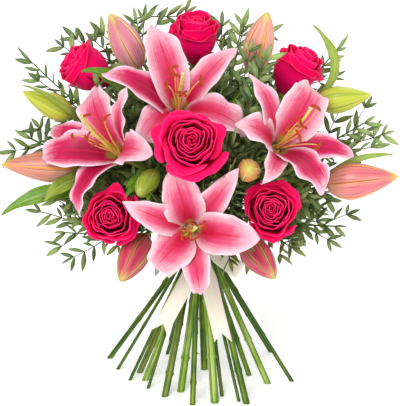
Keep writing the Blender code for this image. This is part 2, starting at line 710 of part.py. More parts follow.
def bow(front):
    """Knot, two loops and two tails of the ribbon, at the front of the wrap."""
    half_across, half_deep, half_high = KNOT_HALF
    knot = Vector((0, front - GAP - half_deep, TIE_HEIGHT - KNOT_DROP))
    add_object("ribbon_knot", ball(knot, KNOT_HALF, 10, 6), finishes["ribbon"])
    over = Vector((0, -1, 0.35)).normalized()
    for side, hand in (("left", -1), ("right", 1)):
        start = knot + Vector((hand * (half_across + 0.6 * MM), -0.5 * MM, 0))
        reach = at(LOOP_ENDS[side]) - start
        line = [start + reach * share + over * rise * MM for share, rise in LOOP_SHAPE]
        wide = reach.cross(over).normalized() * RIBBON_WIDTH / 2
        strip("ribbon_loop_" + side, line, [wide * share for share in LOOP_WIDTHS])
        start = knot + Vector((hand * 5 * MM, -1 * MM, -half_high - 2 * MM))
        tip, half_width = at(TAILS[side][0]), at(TAILS[side][1])
        line = bezier(start, at((hand * 4, -40, -46)), tip, (tip - start) * 0.9, len(TAIL_WIDTHS))
        strip("ribbon_tail_" + side, line, [half_width * share for share in TAIL_WIDTHS])


def ideal_tie(foot):
    """A stem's place in the bundle before packing: the ring of feet, drawn in."""
    return Vector((*foot, 0)) * MM * BUNDLE_SHARE


clear_scene()
bouquet = bpy.data.collections.new("flower_bouquet")
helpers = bpy.data.collections.new("helpers")
bpy.context.scene.collection.children.link(bouquet)
bpy.context.scene.collection.children.link(helpers)
root = bpy.data.objects.new("bouquet_root", None)
bouquet.objects.link(root)

finishes = {
    "lily": material("lily_petal", PINK, 0.45),
    "pollen": material("stamen", POLLEN, 0.7),
    "bud": material("pink_bud", BUD_PINK, 0.45),
    "green_bud": material("green_bud", BUD_GREEN, 0.45),
    "rose": material("rose_petal", CRIMSON, 0.55),
    "stem": material("stem", STEM_GREEN, 0.45),
    "spray": material("spray_leaf", LEAF_GREEN, 0.5),
    "leaf": material("lily_leaf", STEM_GREEN, 0.45),
    "ribbon": material("ribbon", CREAM, 0.5),
    "twine": material("twine", TWINE_TAN, 0.9),
}

stems = {"lily_" + key: plan for key, plan in LILIES.items()}
stems |= {"rose_" + key: plan for key, plan in ROSES.items()}
stems |= SPRAYS
tie_radii = [plan["stem"] * MM / 2 for plan in stems.values()]
ties = packed([ideal_tie(plan["foot"]) for plan in stems.values()], tie_radii)
tie_of = dict(zip(stems, ties))

pedicels = {}
for key, lily in LILIES.items():
    lily_bloom("lily_bloom_" + key, lily)
    lily_stamens("lily_stamens_" + key, lily)
    lily_stem("lily_stem_" + key, key, tie_of["lily_" + key])
for bud_name, (_, base, tip, radius) in BUDS.items():
    finish = finishes["bud" if bud_name.startswith("pink") else "green_bud"]
    bud(bud_name, at(base), at(tip), radius * MM, finish)
for key, rose in ROSES.items():
    rose_bloom("rose_bloom_" + key, rose)
    rose_stem("rose_stem_" + key, rose, tie_of["rose_" + key])
for leaf_name, values in LEAVES.items():
    lily_leaf(leaf_name, *values)

binding_twine()
wrap_offset = TWINE_SEAT + GAP + TWINE_RADIUS * 2
ribbon_wrap(wrap_offset)
front_reach = max(bundle_radius(math.radians(angle)) for angle in range(-120, -59, 10))
bow(-(front_reach + wrap_offset))

flower_trees = [tree_of(evaluated_mesh(obj)) for obj in bouquet.objects if obj.type == "MESH"]
for spray_name, plan in SPRAYS.items():
    made = spray(spray_name, plan, tie_of[spray_name], flower_trees)
    flower_trees.append(tree_of(evaluated_mesh(made)))
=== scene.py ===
# %% [markdown]
# # A hand-tied bouquet
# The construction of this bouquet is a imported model: 23 stems bound at one point, with four lilies, six roses, ten lily
# buds and thirteen leafy sprays. It fixes where everything is. This file gives each piece the surface and the finish that
# an eye expects: petals, stamens, ribs, leaflets and satin.

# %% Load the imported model
import math

import bmesh
import bpy
import numpy as np
from mathutils import Matrix, Vector
from mathutils.bvhtree import BVHTree


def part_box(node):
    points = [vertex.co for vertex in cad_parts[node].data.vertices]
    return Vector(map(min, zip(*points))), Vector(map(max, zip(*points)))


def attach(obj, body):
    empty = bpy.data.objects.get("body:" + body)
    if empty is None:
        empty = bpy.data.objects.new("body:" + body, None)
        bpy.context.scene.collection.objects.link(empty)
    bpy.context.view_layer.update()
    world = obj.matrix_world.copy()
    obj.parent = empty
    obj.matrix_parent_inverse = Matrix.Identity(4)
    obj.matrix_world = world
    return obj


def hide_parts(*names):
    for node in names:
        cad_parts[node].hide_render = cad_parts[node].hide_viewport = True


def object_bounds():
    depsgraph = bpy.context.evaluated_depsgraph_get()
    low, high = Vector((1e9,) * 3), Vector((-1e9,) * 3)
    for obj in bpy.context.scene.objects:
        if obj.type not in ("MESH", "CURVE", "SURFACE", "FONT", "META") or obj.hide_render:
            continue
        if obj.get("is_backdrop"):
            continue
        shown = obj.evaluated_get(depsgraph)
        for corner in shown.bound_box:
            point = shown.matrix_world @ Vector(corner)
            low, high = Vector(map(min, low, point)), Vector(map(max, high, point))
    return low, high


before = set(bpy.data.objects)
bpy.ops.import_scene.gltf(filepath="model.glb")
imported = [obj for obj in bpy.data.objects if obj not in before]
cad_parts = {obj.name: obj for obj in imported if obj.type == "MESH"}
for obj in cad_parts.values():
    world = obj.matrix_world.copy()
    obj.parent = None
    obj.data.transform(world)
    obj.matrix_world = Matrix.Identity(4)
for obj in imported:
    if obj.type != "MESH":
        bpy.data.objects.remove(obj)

MM = 0.001
cad_low, cad_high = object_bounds()
scene = bpy.context.scene
print("The model is", [round((high - low) / MM) for low, high in zip(cad_low, cad_high)], "mm across")

# %% [markdown]
# ## The layout, in millimetres
# The flowers are placed by the same few dimensions as in the model: the base of each lily and the way it faces, its six
# tepals, the ends of each bud, the middle of each rose, and the tip of each spray. A facing is an azimuth, 0 towards the
# front, and an elevation.

# %% Layout
LILIES = {
    "top": dict(
        at=(-23, -58, 308), facing=(4, 50), foot=(-21, -67), stem=7.0, pistil=(2, -3, 74),
        tepals=[("inner", 108, 100, 44, 95), ("inner", -28, 92, 42, 146), ("inner", -138, 62, 40, 175),
                ("outer", 163, 97, 36, 98), ("outer", 40, 97, 31, 98), ("outer", -80, 46, 28, 170)],
    ),
    "left": dict(
        at=(-79, -80, 269), facing=(-50, 36), foot=(-61, -36), stem=6.0, pistil=(4, 10, 76),
        tepals=[("inner", 134, 89, 48, 112), ("inner", -150, 90, 45, 98), ("inner", 8, 70, 38, 130),
                ("outer", 78, 78, 27, 74), ("outer", -176, 96, 31, 104), ("outer", -98, 90, 30, 150)],
    ),
    "right": dict(
        at=(77, -80, 277), facing=(33, 37), foot=(75, -45), stem=6.0, pistil=(4, 10, 76),
        tepals=[("inner", 44, 93, 52, 132), ("inner", -84, 83, 42, 96), ("inner", 156, 68, 38, 110),
                ("outer", 106, 88, 30, 108), ("outer", -24, 90, 28, 118), ("outer", -138, 74, 26, 104)],
    ),
    "front": dict(
        at=(-9, -113, 203), facing=(0, 12), foot=(16, -96), stem=7.6, pistil=(4, 6, 62),
        tepals=[("inner", 106, 77, 45, 106), ("inner", -5, 84, 46, 90), ("inner", -134, 64, 45, 136),
                ("outer", 157, 88, 31, 98), ("outer", 53, 91, 30, 108), ("outer", -82, 82, 30, 148)],
    ),
}
BUDS = {  # the lily whose stem carries it, its base, its tip, its radius and how far its ribs are turned
    "pink_bud_top_left": ("top", (-64, -28, 353), (-93, -50, 415), 16.5, 24),
    "pink_bud_top_right": ("top", (55, -8, 342), (71, -26, 412), 16.0, -4),
    "pink_bud_left": ("left", (-131, -42, 247), (-211, -50, 253), 17.0, 10),
    "pink_bud_right": ("right", (133, -58, 234), (209, -68, 245), 19.5, -12),
    "pink_bud_low_left": ("front", (-58, -68, 180), (-82, -133, 151), 16.0, 15),
    "pink_bud_low_right": ("front", (46, -66, 178), (78, -124, 151), 15.5, -20),
    "green_bud_left": ("left", (-135, -36, 303), (-185, -58, 334), 13.5, 0),
    "green_bud_right": ("right", (124, -26, 315), (181, -38, 326), 14.5, 30),
    "small_bud_left": ("left", (-46, -90, 257), (-62, -130, 243), 11.5, 0),
    "small_bud_right": ("right", (50, -96, 257), (49, -142, 275), 12.0, 0),
}
ROSES = {
    "centre": dict(at=(-9, -142, 300), facing=(0, 28), radius=35, height=52, foot=(-8, -102), stem=5.2),
    "left": dict(at=(-92, -103, 211), facing=(-5, 22), radius=31, height=50, foot=(-38, -80), stem=6.6),
    "right": dict(at=(74, -108, 219), facing=(-3, 26), radius=31, height=50, foot=(50, -99), stem=6.2),
    "top_left": dict(at=(-120, 4, 343), facing=(-78, 30), radius=26, height=56, foot=(-68, -14), stem=6.0),
    "top": dict(at=(-5, 30, 371), facing=(0, 75), radius=26, height=58, foot=(5, -5), stem=6.6),
    "top_right": dict(at=(102, 10, 340), facing=(65, 56), radius=27, height=58, foot=(55, -22), stem=5.0),
}
SPRAYS = {
    "left_upper": dict(tip=(-178, -10, 354), via=(-92, -4, 270), foot=(-93, -5), stem=3.6),
    "left": dict(tip=(-196, -14, 280), via=(-104, 14, 224), foot=(-104, 28), stem=5.6),
    "left_lower": dict(tip=(-168, -62, 182), via=(-88, -44, 174), foot=(-57, -59), stem=3.6),
    "front_left": dict(tip=(-136, -58, 214), via=(-62, -18, 210), foot=(-78, -36), stem=3.6),
    "front_centre": dict(tip=(28, -120, 262), via=(18, -70, 216), foot=(24, -80), stem=4.2),
    "front_low": dict(tip=(36, -90, 150), via=(23, -40, 187), foot=(42, -94), stem=3.6),
    "right_lower": dict(tip=(170, -54, 186), via=(88, -34, 182), foot=(102, -39), stem=4.4),
    "right": dict(tip=(190, -12, 298), via=(104, 4, 240), foot=(82, 46), stem=4.0),
    "top_right": dict(tip=(154, 24, 370), via=(80, 38, 276), foot=(40, 28), stem=4.0),
    "top": dict(tip=(48, 50, 394), via=(28, 32, 300), foot=(8, 46), stem=4.0),
    "top_left": dict(tip=(-74, 42, 388), via=(-46, 30, 300), foot=(-38, 40), stem=4.0),
    "back_right": dict(tip=(96, 160, 308), via=(52, 86, 240), foot=(36, 88), stem=4.4),
    "back_left": dict(tip=(-84, 162, 306), via=(-46, 88, 240), foot=(-35, 84), stem=4.4),
}
LEAVES = {  # the bud whose stalk carries it, how far along, its tip and its width
    "left_long": ("pink_bud_left", 0.62, (-211, -62, 200), 19),
    "left_short": ("pink_bud_left", 0.84, (-164, -84, 222), 17),
    "upper_left": ("pink_bud_top_left", 0.66, (-122, -78, 360), 17),
    "upper_right": ("green_bud_right", 0.97, (119, -20, 397), 10),
    "low": ("pink_bud_low_left", 0.30, (-47, -94, 143), 17),
}
TIE_HEIGHT, TIE_SOFTNESS, STEM_RISE = 155 * MM, 17 * MM, 16 * MM
UP = np.array((0.0, 0.0, 1.0))
print(len(LILIES), "lilies,", len(ROSES), "roses,", len(BUDS), "buds and", len(SPRAYS), "sprays")

# %% [markdown]
# ## Camera
# The photograph looks slightly down on the bouquet from its front, and one pixel is 1.1 mm. A long lens from 1.8 m keeps
# the flowers' sizes in proportion. The sensor is as wide as the picture's longer side, 406 pixels.

# %% Camera
VIEW_DISTANCE, VIEW_ELEVATION = 1.8, math.radians(17)
VIEW_CENTRE = np.array((0.0, 0.0, 0.195))
PIXEL, LONG_SIDE = 1.1 * MM, 406
to_camera = np.array((0.0, -math.cos(VIEW_ELEVATION), math.sin(VIEW_ELEVATION)))
lens = bpy.data.cameras.new("camera")
lens.sensor_width = 36
lens.lens = lens.sensor_width * VIEW_DISTANCE / (LONG_SIDE * PIXEL)
camera = bpy.data.objects.new("camera", lens)
camera.location = Vector(VIEW_CENTRE + to_camera * VIEW_DISTANCE)
camera.rotation_euler = Vector(-to_camera).to_track_quat("-Z", "Y").to_euler()
scene.collection.objects.link(camera)
scene.camera = camera
print("Lens", round(lens.lens, 1), "mm")

# %% [markdown]
# ## Directions and curves
# A flower head is modelled upright about its own axis and then turned to its facing. Stems, stalks and leaves follow
# cubic curves that leave one point along a tangent and arrive at another along a second.


# %% Directions and curves
def unit(vector):
    return vector / np.linalg.norm(vector)


def at(place):
    return np.array(place, float) * MM


def facing(azimuth, elevation):
    a, e = math.radians(azimuth), math.radians(elevation)
    return np.array((math.sin(a) * math.cos(e), -math.cos(a) * math.cos(e), math.sin(e)))


def seat(place, azimuth, elevation):
    """The turn and the place of a flower head: its own Z is the facing, and its own X is level."""
    z = facing(azimuth, elevation)
    x = np.array((math.cos(math.radians(azimuth)), math.sin(math.radians(azimuth)), 0))
    return np.stack((x, np.cross(z, x), z)), at(place)


def aimed(base, direction, roll=0):
    """The turn and the place that carry Z to a direction."""
    turn = Vector(direction).to_track_quat("Z", "Y").to_matrix() @ Matrix.Rotation(math.radians(roll), 3, "Z")
    return np.array(turn).T, base


def curve(start, start_tangent, end, end_tangent, count):
    t = np.linspace(0, 1, count)[:, None]
    b, c = start + start_tangent / 3, end - end_tangent / 3
    return (1 - t) ** 3 * start + 3 * (1 - t) ** 2 * t * b + 3 * (1 - t) * t * t * c + t**3 * end


def through(knots, x):
    """A smooth line through (place, value) knots, read at x."""
    places, values = np.array(knots, float).T
    slopes = np.gradient(values, places)
    n = np.clip(np.searchsorted(places, x) - 1, 0, len(places) - 2)
    step = places[n + 1] - places[n]
    t = (x - places[n]) / step
    return ((2 * t**3 - 3 * t**2 + 1) * values[n] + (t**3 - 2 * t**2 + t) * step * slopes[n]
            + (3 * t**2 - 2 * t**3) * values[n + 1] + (t**3 - t**2) * step * slopes[n + 1])


def smooth(x, low, high):
    t = np.clip((x - low) / (high - low), 0, 1)
    return t * t * (3 - 2 * t)


def lengths(line):
    """How far each point is along a line."""
    return np.concatenate(([0], np.cumsum(np.linalg.norm(np.diff(line, axis=0), axis=1))))


def along(line, share):
    """A point and the heading at a share of a line's length."""
    gone = lengths(line)
    n = min(int(np.searchsorted(gone, share * gone[-1], side="right")), len(line) - 1) - 1
    step = line[n + 1] - line[n]
    return line[n] + step * (share * gone[-1] - gone[n]) / np.linalg.norm(step), unit(step)


def hashed(*numbers):
    """A number from 0 to 1 that only depends on the given ones."""
    return math.sin(sum(n * k for n, k in zip(numbers, (12.9898, 78.233, 37.719)))) * 43758.5453 % 1


print("Curves are ready")

# %% [markdown]
# ## Surfaces
# Petals, leaves, stems and ribbon are all sheets of points, laid out across and along. A sheet whose sides meet is a
# tube, and one with its ends drawn to a point is closed. The places across and along are kept as a UV map named blade, so
# that veins and colour follow the surface.


# %% Surfaces
class Shape:
    """Points, faces, UV places and finish numbers of a piece that is made of several sheets."""

    def __init__(self):
        self.points, self.faces, self.places, self.finish, self.count = [], [], [], [], 0

    def sheet(self, surface, rows, columns, finish=0, seated=None):
        """Adds surface(across, along), where both run from 0 to 1; it faces the way that along x across points."""
        v, u = np.meshgrid(np.linspace(0, 1, rows + 1), np.linspace(0, 1, columns + 1), indexing="ij")
        made = np.stack(np.broadcast_arrays(*surface(u, v)), -1)
        points, places = made[..., :3].reshape(-1, 3), np.stack((u, v), -1).reshape(-1, 2)
        if made.shape[-1] > 3:
            places = made[..., 3:].reshape(-1, 2)
        if seated:
            points = points @ seated[0] + seated[1]
        first = (np.arange(rows)[:, None] * (columns + 1) + np.arange(columns)).reshape(-1)
        faces = np.stack((first, first + columns + 1, first + columns + 2, first + 1), -1)
        self.points.append(points)
        self.faces += (faces + self.count).tolist()
        self.places.append(places[faces].reshape(-1, 2))
        self.finish += [finish] * len(faces)
        self.count += len(points)

    def tube(self, line, radii, sides=10, finish=0, cut=None):
        """Adds a closed round tube; with a cut finish, it starts with a level cut on the floor."""
        line, radii = np.asarray(line, float), np.broadcast_to(radii, len(line))
        headings = np.gradient(line, axis=0)
        headings /= np.linalg.norm(headings, axis=1)[:, None]
        normal = unit(np.cross(headings[0], (0.31, 0.87, 0.11)))
        angles = -2 * math.pi * np.linspace(0, 1, sides + 1)
        rings = []
        for place, heading, radius in zip(line, headings, radii):
            normal = unit(normal - heading * (normal @ heading))
            ring = np.outer(np.cos(angles), normal) + np.outer(np.sin(angles), np.cross(heading, normal))
            rings.append(place + ring * radius)
        if cut is not None:
            rings[0] = rings[0] - np.outer(rings[0][:, 2] / headings[0][2], headings[0])
            rings[1:] = [ring for ring in rings[1:] if ring[:, 2].min() > 0.2 * MM]
            self.ring_sheet([np.repeat(line[:1] * (1, 1, 0), sides + 1, 0), rings[0]], cut)
        else:
            rings.insert(0, np.repeat(line[:1], sides + 1, 0))
        self.ring_sheet(rings + [np.repeat(line[-1:], sides + 1, 0)], finish)

    def ring_sheet(self, rings, finish):
        rings = np.array(rings)
        rows, columns = len(rings) - 1, rings.shape[1] - 1
        self.sheet(lambda u, v: np.moveaxis(rings, -1, 0), rows, columns, finish)

    def blade(self, line, width, outline, face, thick, fold=0.1, wave=0.0, sides=12, finish=0, rows=22):
        """Adds a thin closed leaf along a line: its face looks along a direction, and it is folded at its midrib."""
        gone = lengths(line) / lengths(line)[-1]

        def surface(u, v):
            centre = np.stack([np.interp(v, gone, line[:, k]) for k in range(3)], -1)
            heading = np.gradient(centre, axis=0)
            heading /= np.linalg.norm(heading, axis=-1)[..., None]
            side = np.cross(heading, face)
            side /= np.linalg.norm(side, axis=-1)[..., None]
            top = np.cross(side, heading)
            turn = -2 * math.pi * u
            across, half = np.cos(turn), width / 2 * through(outline, v)
            lift = (fold * abs(across) * width * through(outline, v) + np.sin(turn) * thick / 2
                    * np.minimum(1, through(outline, v) * 3)
                    + wave * across**2 * np.sin(19 * v + 2 * across))
            points = centre + side * (across * half)[..., None] + top * lift[..., None]
            return (*np.moveaxis(points, -1, 0), (across + 1) / 2, v)

        self.sheet(surface, rows, sides, finish)


def piece(name, shape, finishes, stands_for=(), wall=0.0):
    """Makes the shape one mesh object that rides with the bouquet; a wall gives open sheets their thickness."""
    mesh = bpy.data.meshes.new(name)
    mesh.from_pydata(np.concatenate(shape.points).tolist(), [], shape.faces)
    mesh.uv_layers.new(name="blade").data.foreach_set("uv", np.concatenate(shape.places).ravel())
    mesh.polygons.foreach_set("material_index", shape.finish)
    work = bmesh.new()
    work.from_mesh(mesh)
    bmesh.ops.remove_doubles(work, verts=work.verts, dist=0.002 * MM)
    work.to_mesh(mesh)
    work.free()
    return dress(bpy.data.objects.new(name, mesh), finishes, stands_for, wall)


def dress(obj, finishes, stands_for=(), wall=0.0):
    """Gives an object its finishes, its wall and its place in the bouquet."""
    scene.collection.objects.link(obj)
    obj.data.shade_smooth()
    for finish in finishes:
        obj.data.materials.append(finish)
    if wall:
        shell = obj.modifiers.new("wall", "SOLIDIFY")
        shell.thickness, shell.offset, shell.material_offset = wall, 0, len(finishes) - 1
    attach(obj, "root")
    if stands_for:
        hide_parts(*stands_for)
    return obj


print("Sheets, tubes and blades are ready")

# %% [markdown]
# ## Nodes for the finishes
# Colours are written as sRGB hex codes, the way a picture gives them, and turned to the linear values that a shader
# takes. One function adds any node, sets it, fills its inputs and links them.


# %% Nodes
def srgb(code):
    values = [int(code[n:n + 2], 16) / 255 for n in (1, 3, 5)]
    return (*[v / 12.92 if v <= 0.04045 else ((v + 0.055) / 1.055) ** 2.4 for v in values], 1.0)


def add(tree, kind, inputs=None, **settings):
    """Adds a node and returns its first live output; an input is a value, a hex colour or another node's output."""
    made = tree.nodes.new(kind)
    for name, value in settings.items():
        setattr(made, name, value)
    for key, value in (inputs or {}).items():
        socket = made.inputs[key] if isinstance(key, int) else next(
            s for s in made.inputs if s.enabled and key in (s.name, s.identifier))
        if isinstance(value, bpy.types.NodeSocket):
            tree.links.new(value, socket)
        else:
            socket.default_value = srgb(value) if isinstance(value, str) and value[0] == "#" else value
    return next((s for s in made.outputs if s.enabled), None)


def blend_of(tree, share, first, second):
    return add(tree, "ShaderNodeMix", {0: share, 6: first, 7: second}, data_type="RGBA")


def sum_of(tree, operation, a, b=0.0, c=0.0):
    return add(tree, "ShaderNodeMath", {0: a, 1: b, 2: c}, operation=operation)


def step_of(tree, value, low, high, first=0.0, second=1.0):
    """A soft step: first below low, second above high."""
    return add(tree, "ShaderNodeMapRange", {0: value, 1: low, 2: high, 3: first, 4: second},
               interpolation_type="SMOOTHSTEP")


def finish(name, roughness, **extras):
    """A new Principled material; extras are its own sockets, with underscores for spaces."""
    made = bpy.data.materials.new(name)
    made.use_nodes = True
    shader = made.node_tree.nodes["Principled BSDF"]
    shader.inputs["Roughness"].default_value = roughness
    for key, value in extras.items():
        shader.inputs[key.replace("_", " ")].default_value = value
    return made, made.node_tree, shader


def blade_places(tree):
    """How far across, -1 to 1, and how far along a point is on its blade."""
    places = add(tree, "ShaderNodeSeparateXYZ", {0: add(tree, "ShaderNodeUVMap", uv_map="blade")})
    return sum_of(tree, "MULTIPLY_ADD", places, 2.0, -1.0), places.node.outputs[1], places


def streaks(tree, across_scale, along_scale, detail=3.0):
    """Noise drawn out along the blade, as veins and fibres are."""
    places = add(tree, "ShaderNodeUVMap", uv_map="blade")
    stretched = add(tree, "ShaderNodeMapping", {"Vector": places, "Scale": (across_scale, along_scale, 1)})
    return add(tree, "ShaderNodeTexNoise", {"Vector": stretched, "Scale": 1.0, "Detail": detail})


def speckle(tree, size, detail=2.0):
    """Noise in the object's own space, whose patches are about this size in millimetres."""
    places = add(tree, "ShaderNodeTexCoord").node.outputs["Object"]
    return add(tree, "ShaderNodeTexNoise", {"Vector": places, "Scale": 1 / (size * MM), "Detail": detail})


def raise_by(tree, shader, height, depth):
    """Bump of a depth in millimetres."""
    bump = add(tree, "ShaderNodeBump", {"Height": height, "Distance": depth * MM, "Strength": 1.0})
    tree.links.new(bump, shader.inputs["Normal"])


print("Shader helpers are ready")

# %% [markdown]
# ## Lily finishes
# An oriental lily's tepal is white at its margin and tip, pink across the blade and crimson along the midrib, with faint
# parallel veins, a few dark spots low down and a green throat. The skin is waxy and lets some light through. Its back is
# paler.


# %% Lily finishes
def tepal_finish(name, margin, body, heart, reach, strength, rim, band):
    """Reach is how far along the blade its crimson heart runs, strength how strongly it shows, rim where the pink starts
    to fade sideways and band how wide the heart is."""
    made, tree, shader = finish(name, 0.42, Subsurface_Weight=0.15, Subsurface_Scale=0.003,
                                Specular_IOR_Level=0.3, Subsurface_Radius=(1.0, 0.45, 0.55))
    across, far, _ = blade_places(tree)
    veins = streaks(tree, 34, 1.0)
    mottle = step_of(tree, speckle(tree, 6), 0.3, 0.7, -0.025, 0.025)
    drift = sum_of(tree, "ADD", mottle, sum_of(tree, "MULTIPLY_ADD", veins, 0.36, -0.18))
    off = add(tree, "ShaderNodeMath", {0: across}, operation="ABSOLUTE")
    ragged = sum_of(tree, "ADD", off, drift)
    ragged_far = sum_of(tree, "ADD", far, drift)
    # a thin white margin, then pink that fades again towards the tip
    side_pink = step_of(tree, ragged, rim, 1.0, 1.0, 0.0)
    tip_fade = step_of(tree, ragged_far, reach - 0.1, 1.0, 1.0, 0.05)
    pink = sum_of(tree, "MULTIPLY", side_pink, tip_fade)
    narrowing = sum_of(tree, "MULTIPLY_ADD", far, 0.55, -0.1)
    stripe = step_of(tree, sum_of(tree, "ADD", ragged, narrowing), 0.06, band, 1.0, 0.0)
    fade = step_of(tree, ragged_far, reach * 0.5, reach + 0.12, 1.0, 0.0)
    deep = sum_of(tree, "MULTIPLY", sum_of(tree, "MULTIPLY", stripe, fade), strength)
    colour = blend_of(tree, deep, blend_of(tree, pink, margin, body), heart)
    edge_line = step_of(tree, off, 0.90, 0.98, 0.0, 0.45)
    colour = blend_of(tree, edge_line, colour, "#F8EAEC")
    rib_end = step_of(tree, far, reach, reach + 0.25, 1.0, 0.0)
    rib = sum_of(tree, "MULTIPLY", step_of(tree, off, 0.02, 0.10, 0.75, 0.0), rib_end)
    colour = blend_of(tree, sum_of(tree, "MULTIPLY", rib, strength), colour, "#C60A44")
    lines = sum_of(tree, "MULTIPLY", step_of(tree, veins, 0.50, 0.72), deep)
    colour = blend_of(tree, sum_of(tree, "MULTIPLY", lines, 0.35), colour, "#B80A42")
    places = add(tree, "ShaderNodeTexCoord").node.outputs["Object"]
    spots = add(tree, "ShaderNodeTexVoronoi", {"Scale": 1 / (5 * MM), "Vector": places})
    low_down = sum_of(tree, "MULTIPLY", step_of(tree, far, 0.12, 0.28),
                      step_of(tree, far, 0.42, 0.66, 1.0, 0.0))
    dots = sum_of(tree, "MULTIPLY", step_of(tree, spots, 0.11, 0.18, 0.55, 0.0), low_down)
    colour = blend_of(tree, sum_of(tree, "MULTIPLY", dots, strength), colour, "#98082E")
    throat = sum_of(tree, "MULTIPLY", step_of(tree, far, 0.07, 0.18, 0.95, 0.0),
                    step_of(tree, off, 0.12, 0.5, 1.0, 0.08))
    colour = blend_of(tree, throat, colour, "#98A03A")
    tree.links.new(colour, shader.inputs["Base Color"])
    raise_by(tree, shader, veins, 0.22)
    return made


tepal_face = tepal_finish("lily tepal, waxy petal skin", "#E8C0CA", "#D24872", "#BC0434", 0.68, 1.0, 0.36, 0.70)
# a darker, more crimson copy of the tepal finish: painted shade on the tepals listed below
tepal_painted_shade = tepal_finish("lily tepal, darker copy as painted shade", "#ECBCCE", "#C60E54", "#980034", 0.80, 1.0, 0.52, 1.0)
tepal_back = tepal_finish("lily tepal back", "#ECCEDA", "#D86C98", "#C43C74", 0.60, 0.7, 0.55, 0.8)
# the tepals of each lily that take the darker copy, mostly the low ones: painted shade
PAINTED_SHADE_TEPALS = {"top": (3,), "left": (1, 4, 5), "right": (1, 4), "front": ()}

# %% [markdown]
# ## Tepals
# Each tepal leaves the throat at a steep angle and bends out along an arc, the same arc as in the model, to its own tip
# angle. Across, it is slightly cupped, has a groove at its midrib and a wave along its margins. The grid is fine enough
# that the wave reads in the outline, and the wall is 0.8 mm.

# %% Tepals
THROAT_ANGLE = math.radians(18)
THROAT = {"inner": (6.0 * MM, 4.0 * MM), "outer": (7.2 * MM, 0.0)}  # radius and height where a tepal starts
FULLNESS = {"inner": (0.75, 0.78, 2.72), "outer": (0.72, 0.90, 3.0)}
MARGIN_WAVE = {"inner": 4.2 * MM, "outer": 2.6 * MM}


def tepal(kind, length, width, tip_angle, seed):
    """A tepal's surface, in a frame where X is away from the flower's axis and Z is along it."""
    start, end = THROAT_ANGLE, math.radians(tip_angle)
    bend = end - start
    rise, fall, scale = FULLNESS[kind]
    twist = 0.5 * (hashed(seed, 1) - 0.5)
    waves, phase = 2.4 + 1.2 * hashed(seed, 2), 6 * hashed(seed, 3)
    curl = (0.6 + hashed(seed, 4)) * 3.0 * MM

    def surface(u, v):
        side = 2 * u - 1
        angle = start + bend * v
        reach = THROAT[kind][0] + length * (math.cos(start) - np.cos(angle)) / bend
        height = THROAT[kind][1] + length * (np.sin(angle) - math.sin(start)) / bend
        full = width * scale * (v + 0.04) ** rise * np.maximum(1 - v, 0) ** fall
        full *= 1 + (0.03 * np.sin(9 * v + phase) + 0.015 * np.sin(31 * v + phase * side)) * smooth(v, 0.2, 0.5)
        lift = 0.10 * full * side**2 - 0.6 * MM * np.exp(-(side / 0.12) ** 2) * (1 - v)
        wave = MARGIN_WAVE[kind] * abs(side) ** 3 * np.sin(2 * math.pi * waves * v + phase + side)
        lift = lift + wave * smooth(v, 0.3, 0.6)
        lift = lift - curl * smooth(v, 0.82, 1.0) - 1.5 * MM * side**4 * smooth(v, 0.3, 0.7)
        turn = twist * v * v
        wide = full / 2 * side * (1 - 0.05 * side**2)
        wide, lift = wide * np.cos(turn) - lift * np.sin(turn), wide * np.sin(turn) + lift * np.cos(turn)
        return reach - np.cos(angle) * lift, wide, height + np.sin(angle) * lift

    return surface


for key, lily in LILIES.items():
    turn, place = seat(lily["at"], *lily["facing"])
    shape = Shape()
    for number, (kind, roll, length, width, tip_angle) in enumerate(lily["tepals"]):
        a = math.radians(roll)
        out = np.array(((math.cos(a), math.sin(a), 0), (-math.sin(a), math.cos(a), 0), (0, 0, 1)))
        seed = number + 7 * len(key) + lily["at"][0]
        # a listed tepal takes the darker copy of the finish, as painted shade
        deep = int(number in PAINTED_SHADE_TEPALS[key])
        shape.sheet(tepal(kind, length * MM, width * MM, tip_angle, seed), 44, 20, deep, (out @ turn, place))
    piece(key + "_lily_tepals", shape, [tepal_face, tepal_painted_shade, tepal_back], ["lily_bloom_" + key],
          0.8 * MM)
print("Lily blooms:", len(LILIES), "of six tepals")

# %% [markdown]
# ## Stamens and pistil
# Six stamens stand round a pistil. A stamen is a tapering green filament with an anther balanced across its tip, covered
# in rust-coloured pollen. They repeat round a circle, so Geometry Nodes place them: one stamen is drawn, and the tree
# sets six on the points of a circle, leaning out, with a random lean and turn.


# %% Stamen finishes
def plain_finish(name, colour, second, size, roughness, depth=0.0, **extras):
    """A living surface of two close colours in patches of a given size in millimetres."""
    made, tree, shader = finish(name, roughness, **extras)
    patches = speckle(tree, size)
    tree.links.new(blend_of(tree, step_of(tree, patches, 0.35, 0.65), colour, second), shader.inputs["Base Color"])
    if depth:
        raise_by(tree, shader, patches, depth)
    return made


filament_green = plain_finish("filament, peach to green", "#E39C50", "#DCB25E", 9, 0.4, Subsurface_Weight=0.15,
                              Subsurface_Scale=0.002)
pollen_rust = plain_finish("anther, matte pollen", "#C2481A", "#7E2A10", 1.4, 0.95, 0.25)
style_green = plain_finish("pistil, yellow green", "#B9C23C", "#D2CE62", 8, 0.38, Subsurface_Weight=0.15,
                           Subsurface_Scale=0.002)
stigma_pale = plain_finish("stigma, sticky and pale", "#DCD6A4", "#B9A860", 1.5, 0.35, 0.1)


def group(name, **inputs):
    """A new Geometry Nodes tree with a geometry in and out and named inputs of the given kinds."""
    tree = bpy.data.node_groups.new(name, "GeometryNodeTree")
    for way in ("INPUT", "OUTPUT"):
        tree.interface.new_socket("Geometry", in_out=way, socket_type="NodeSocketGeometry")
    for label, kind in inputs.items():
        tree.interface.new_socket(label.replace("_", " "), in_out="INPUT", socket_type="NodeSocket" + kind)
    start = add(tree, "NodeGroupInput").node.outputs
    return tree, start


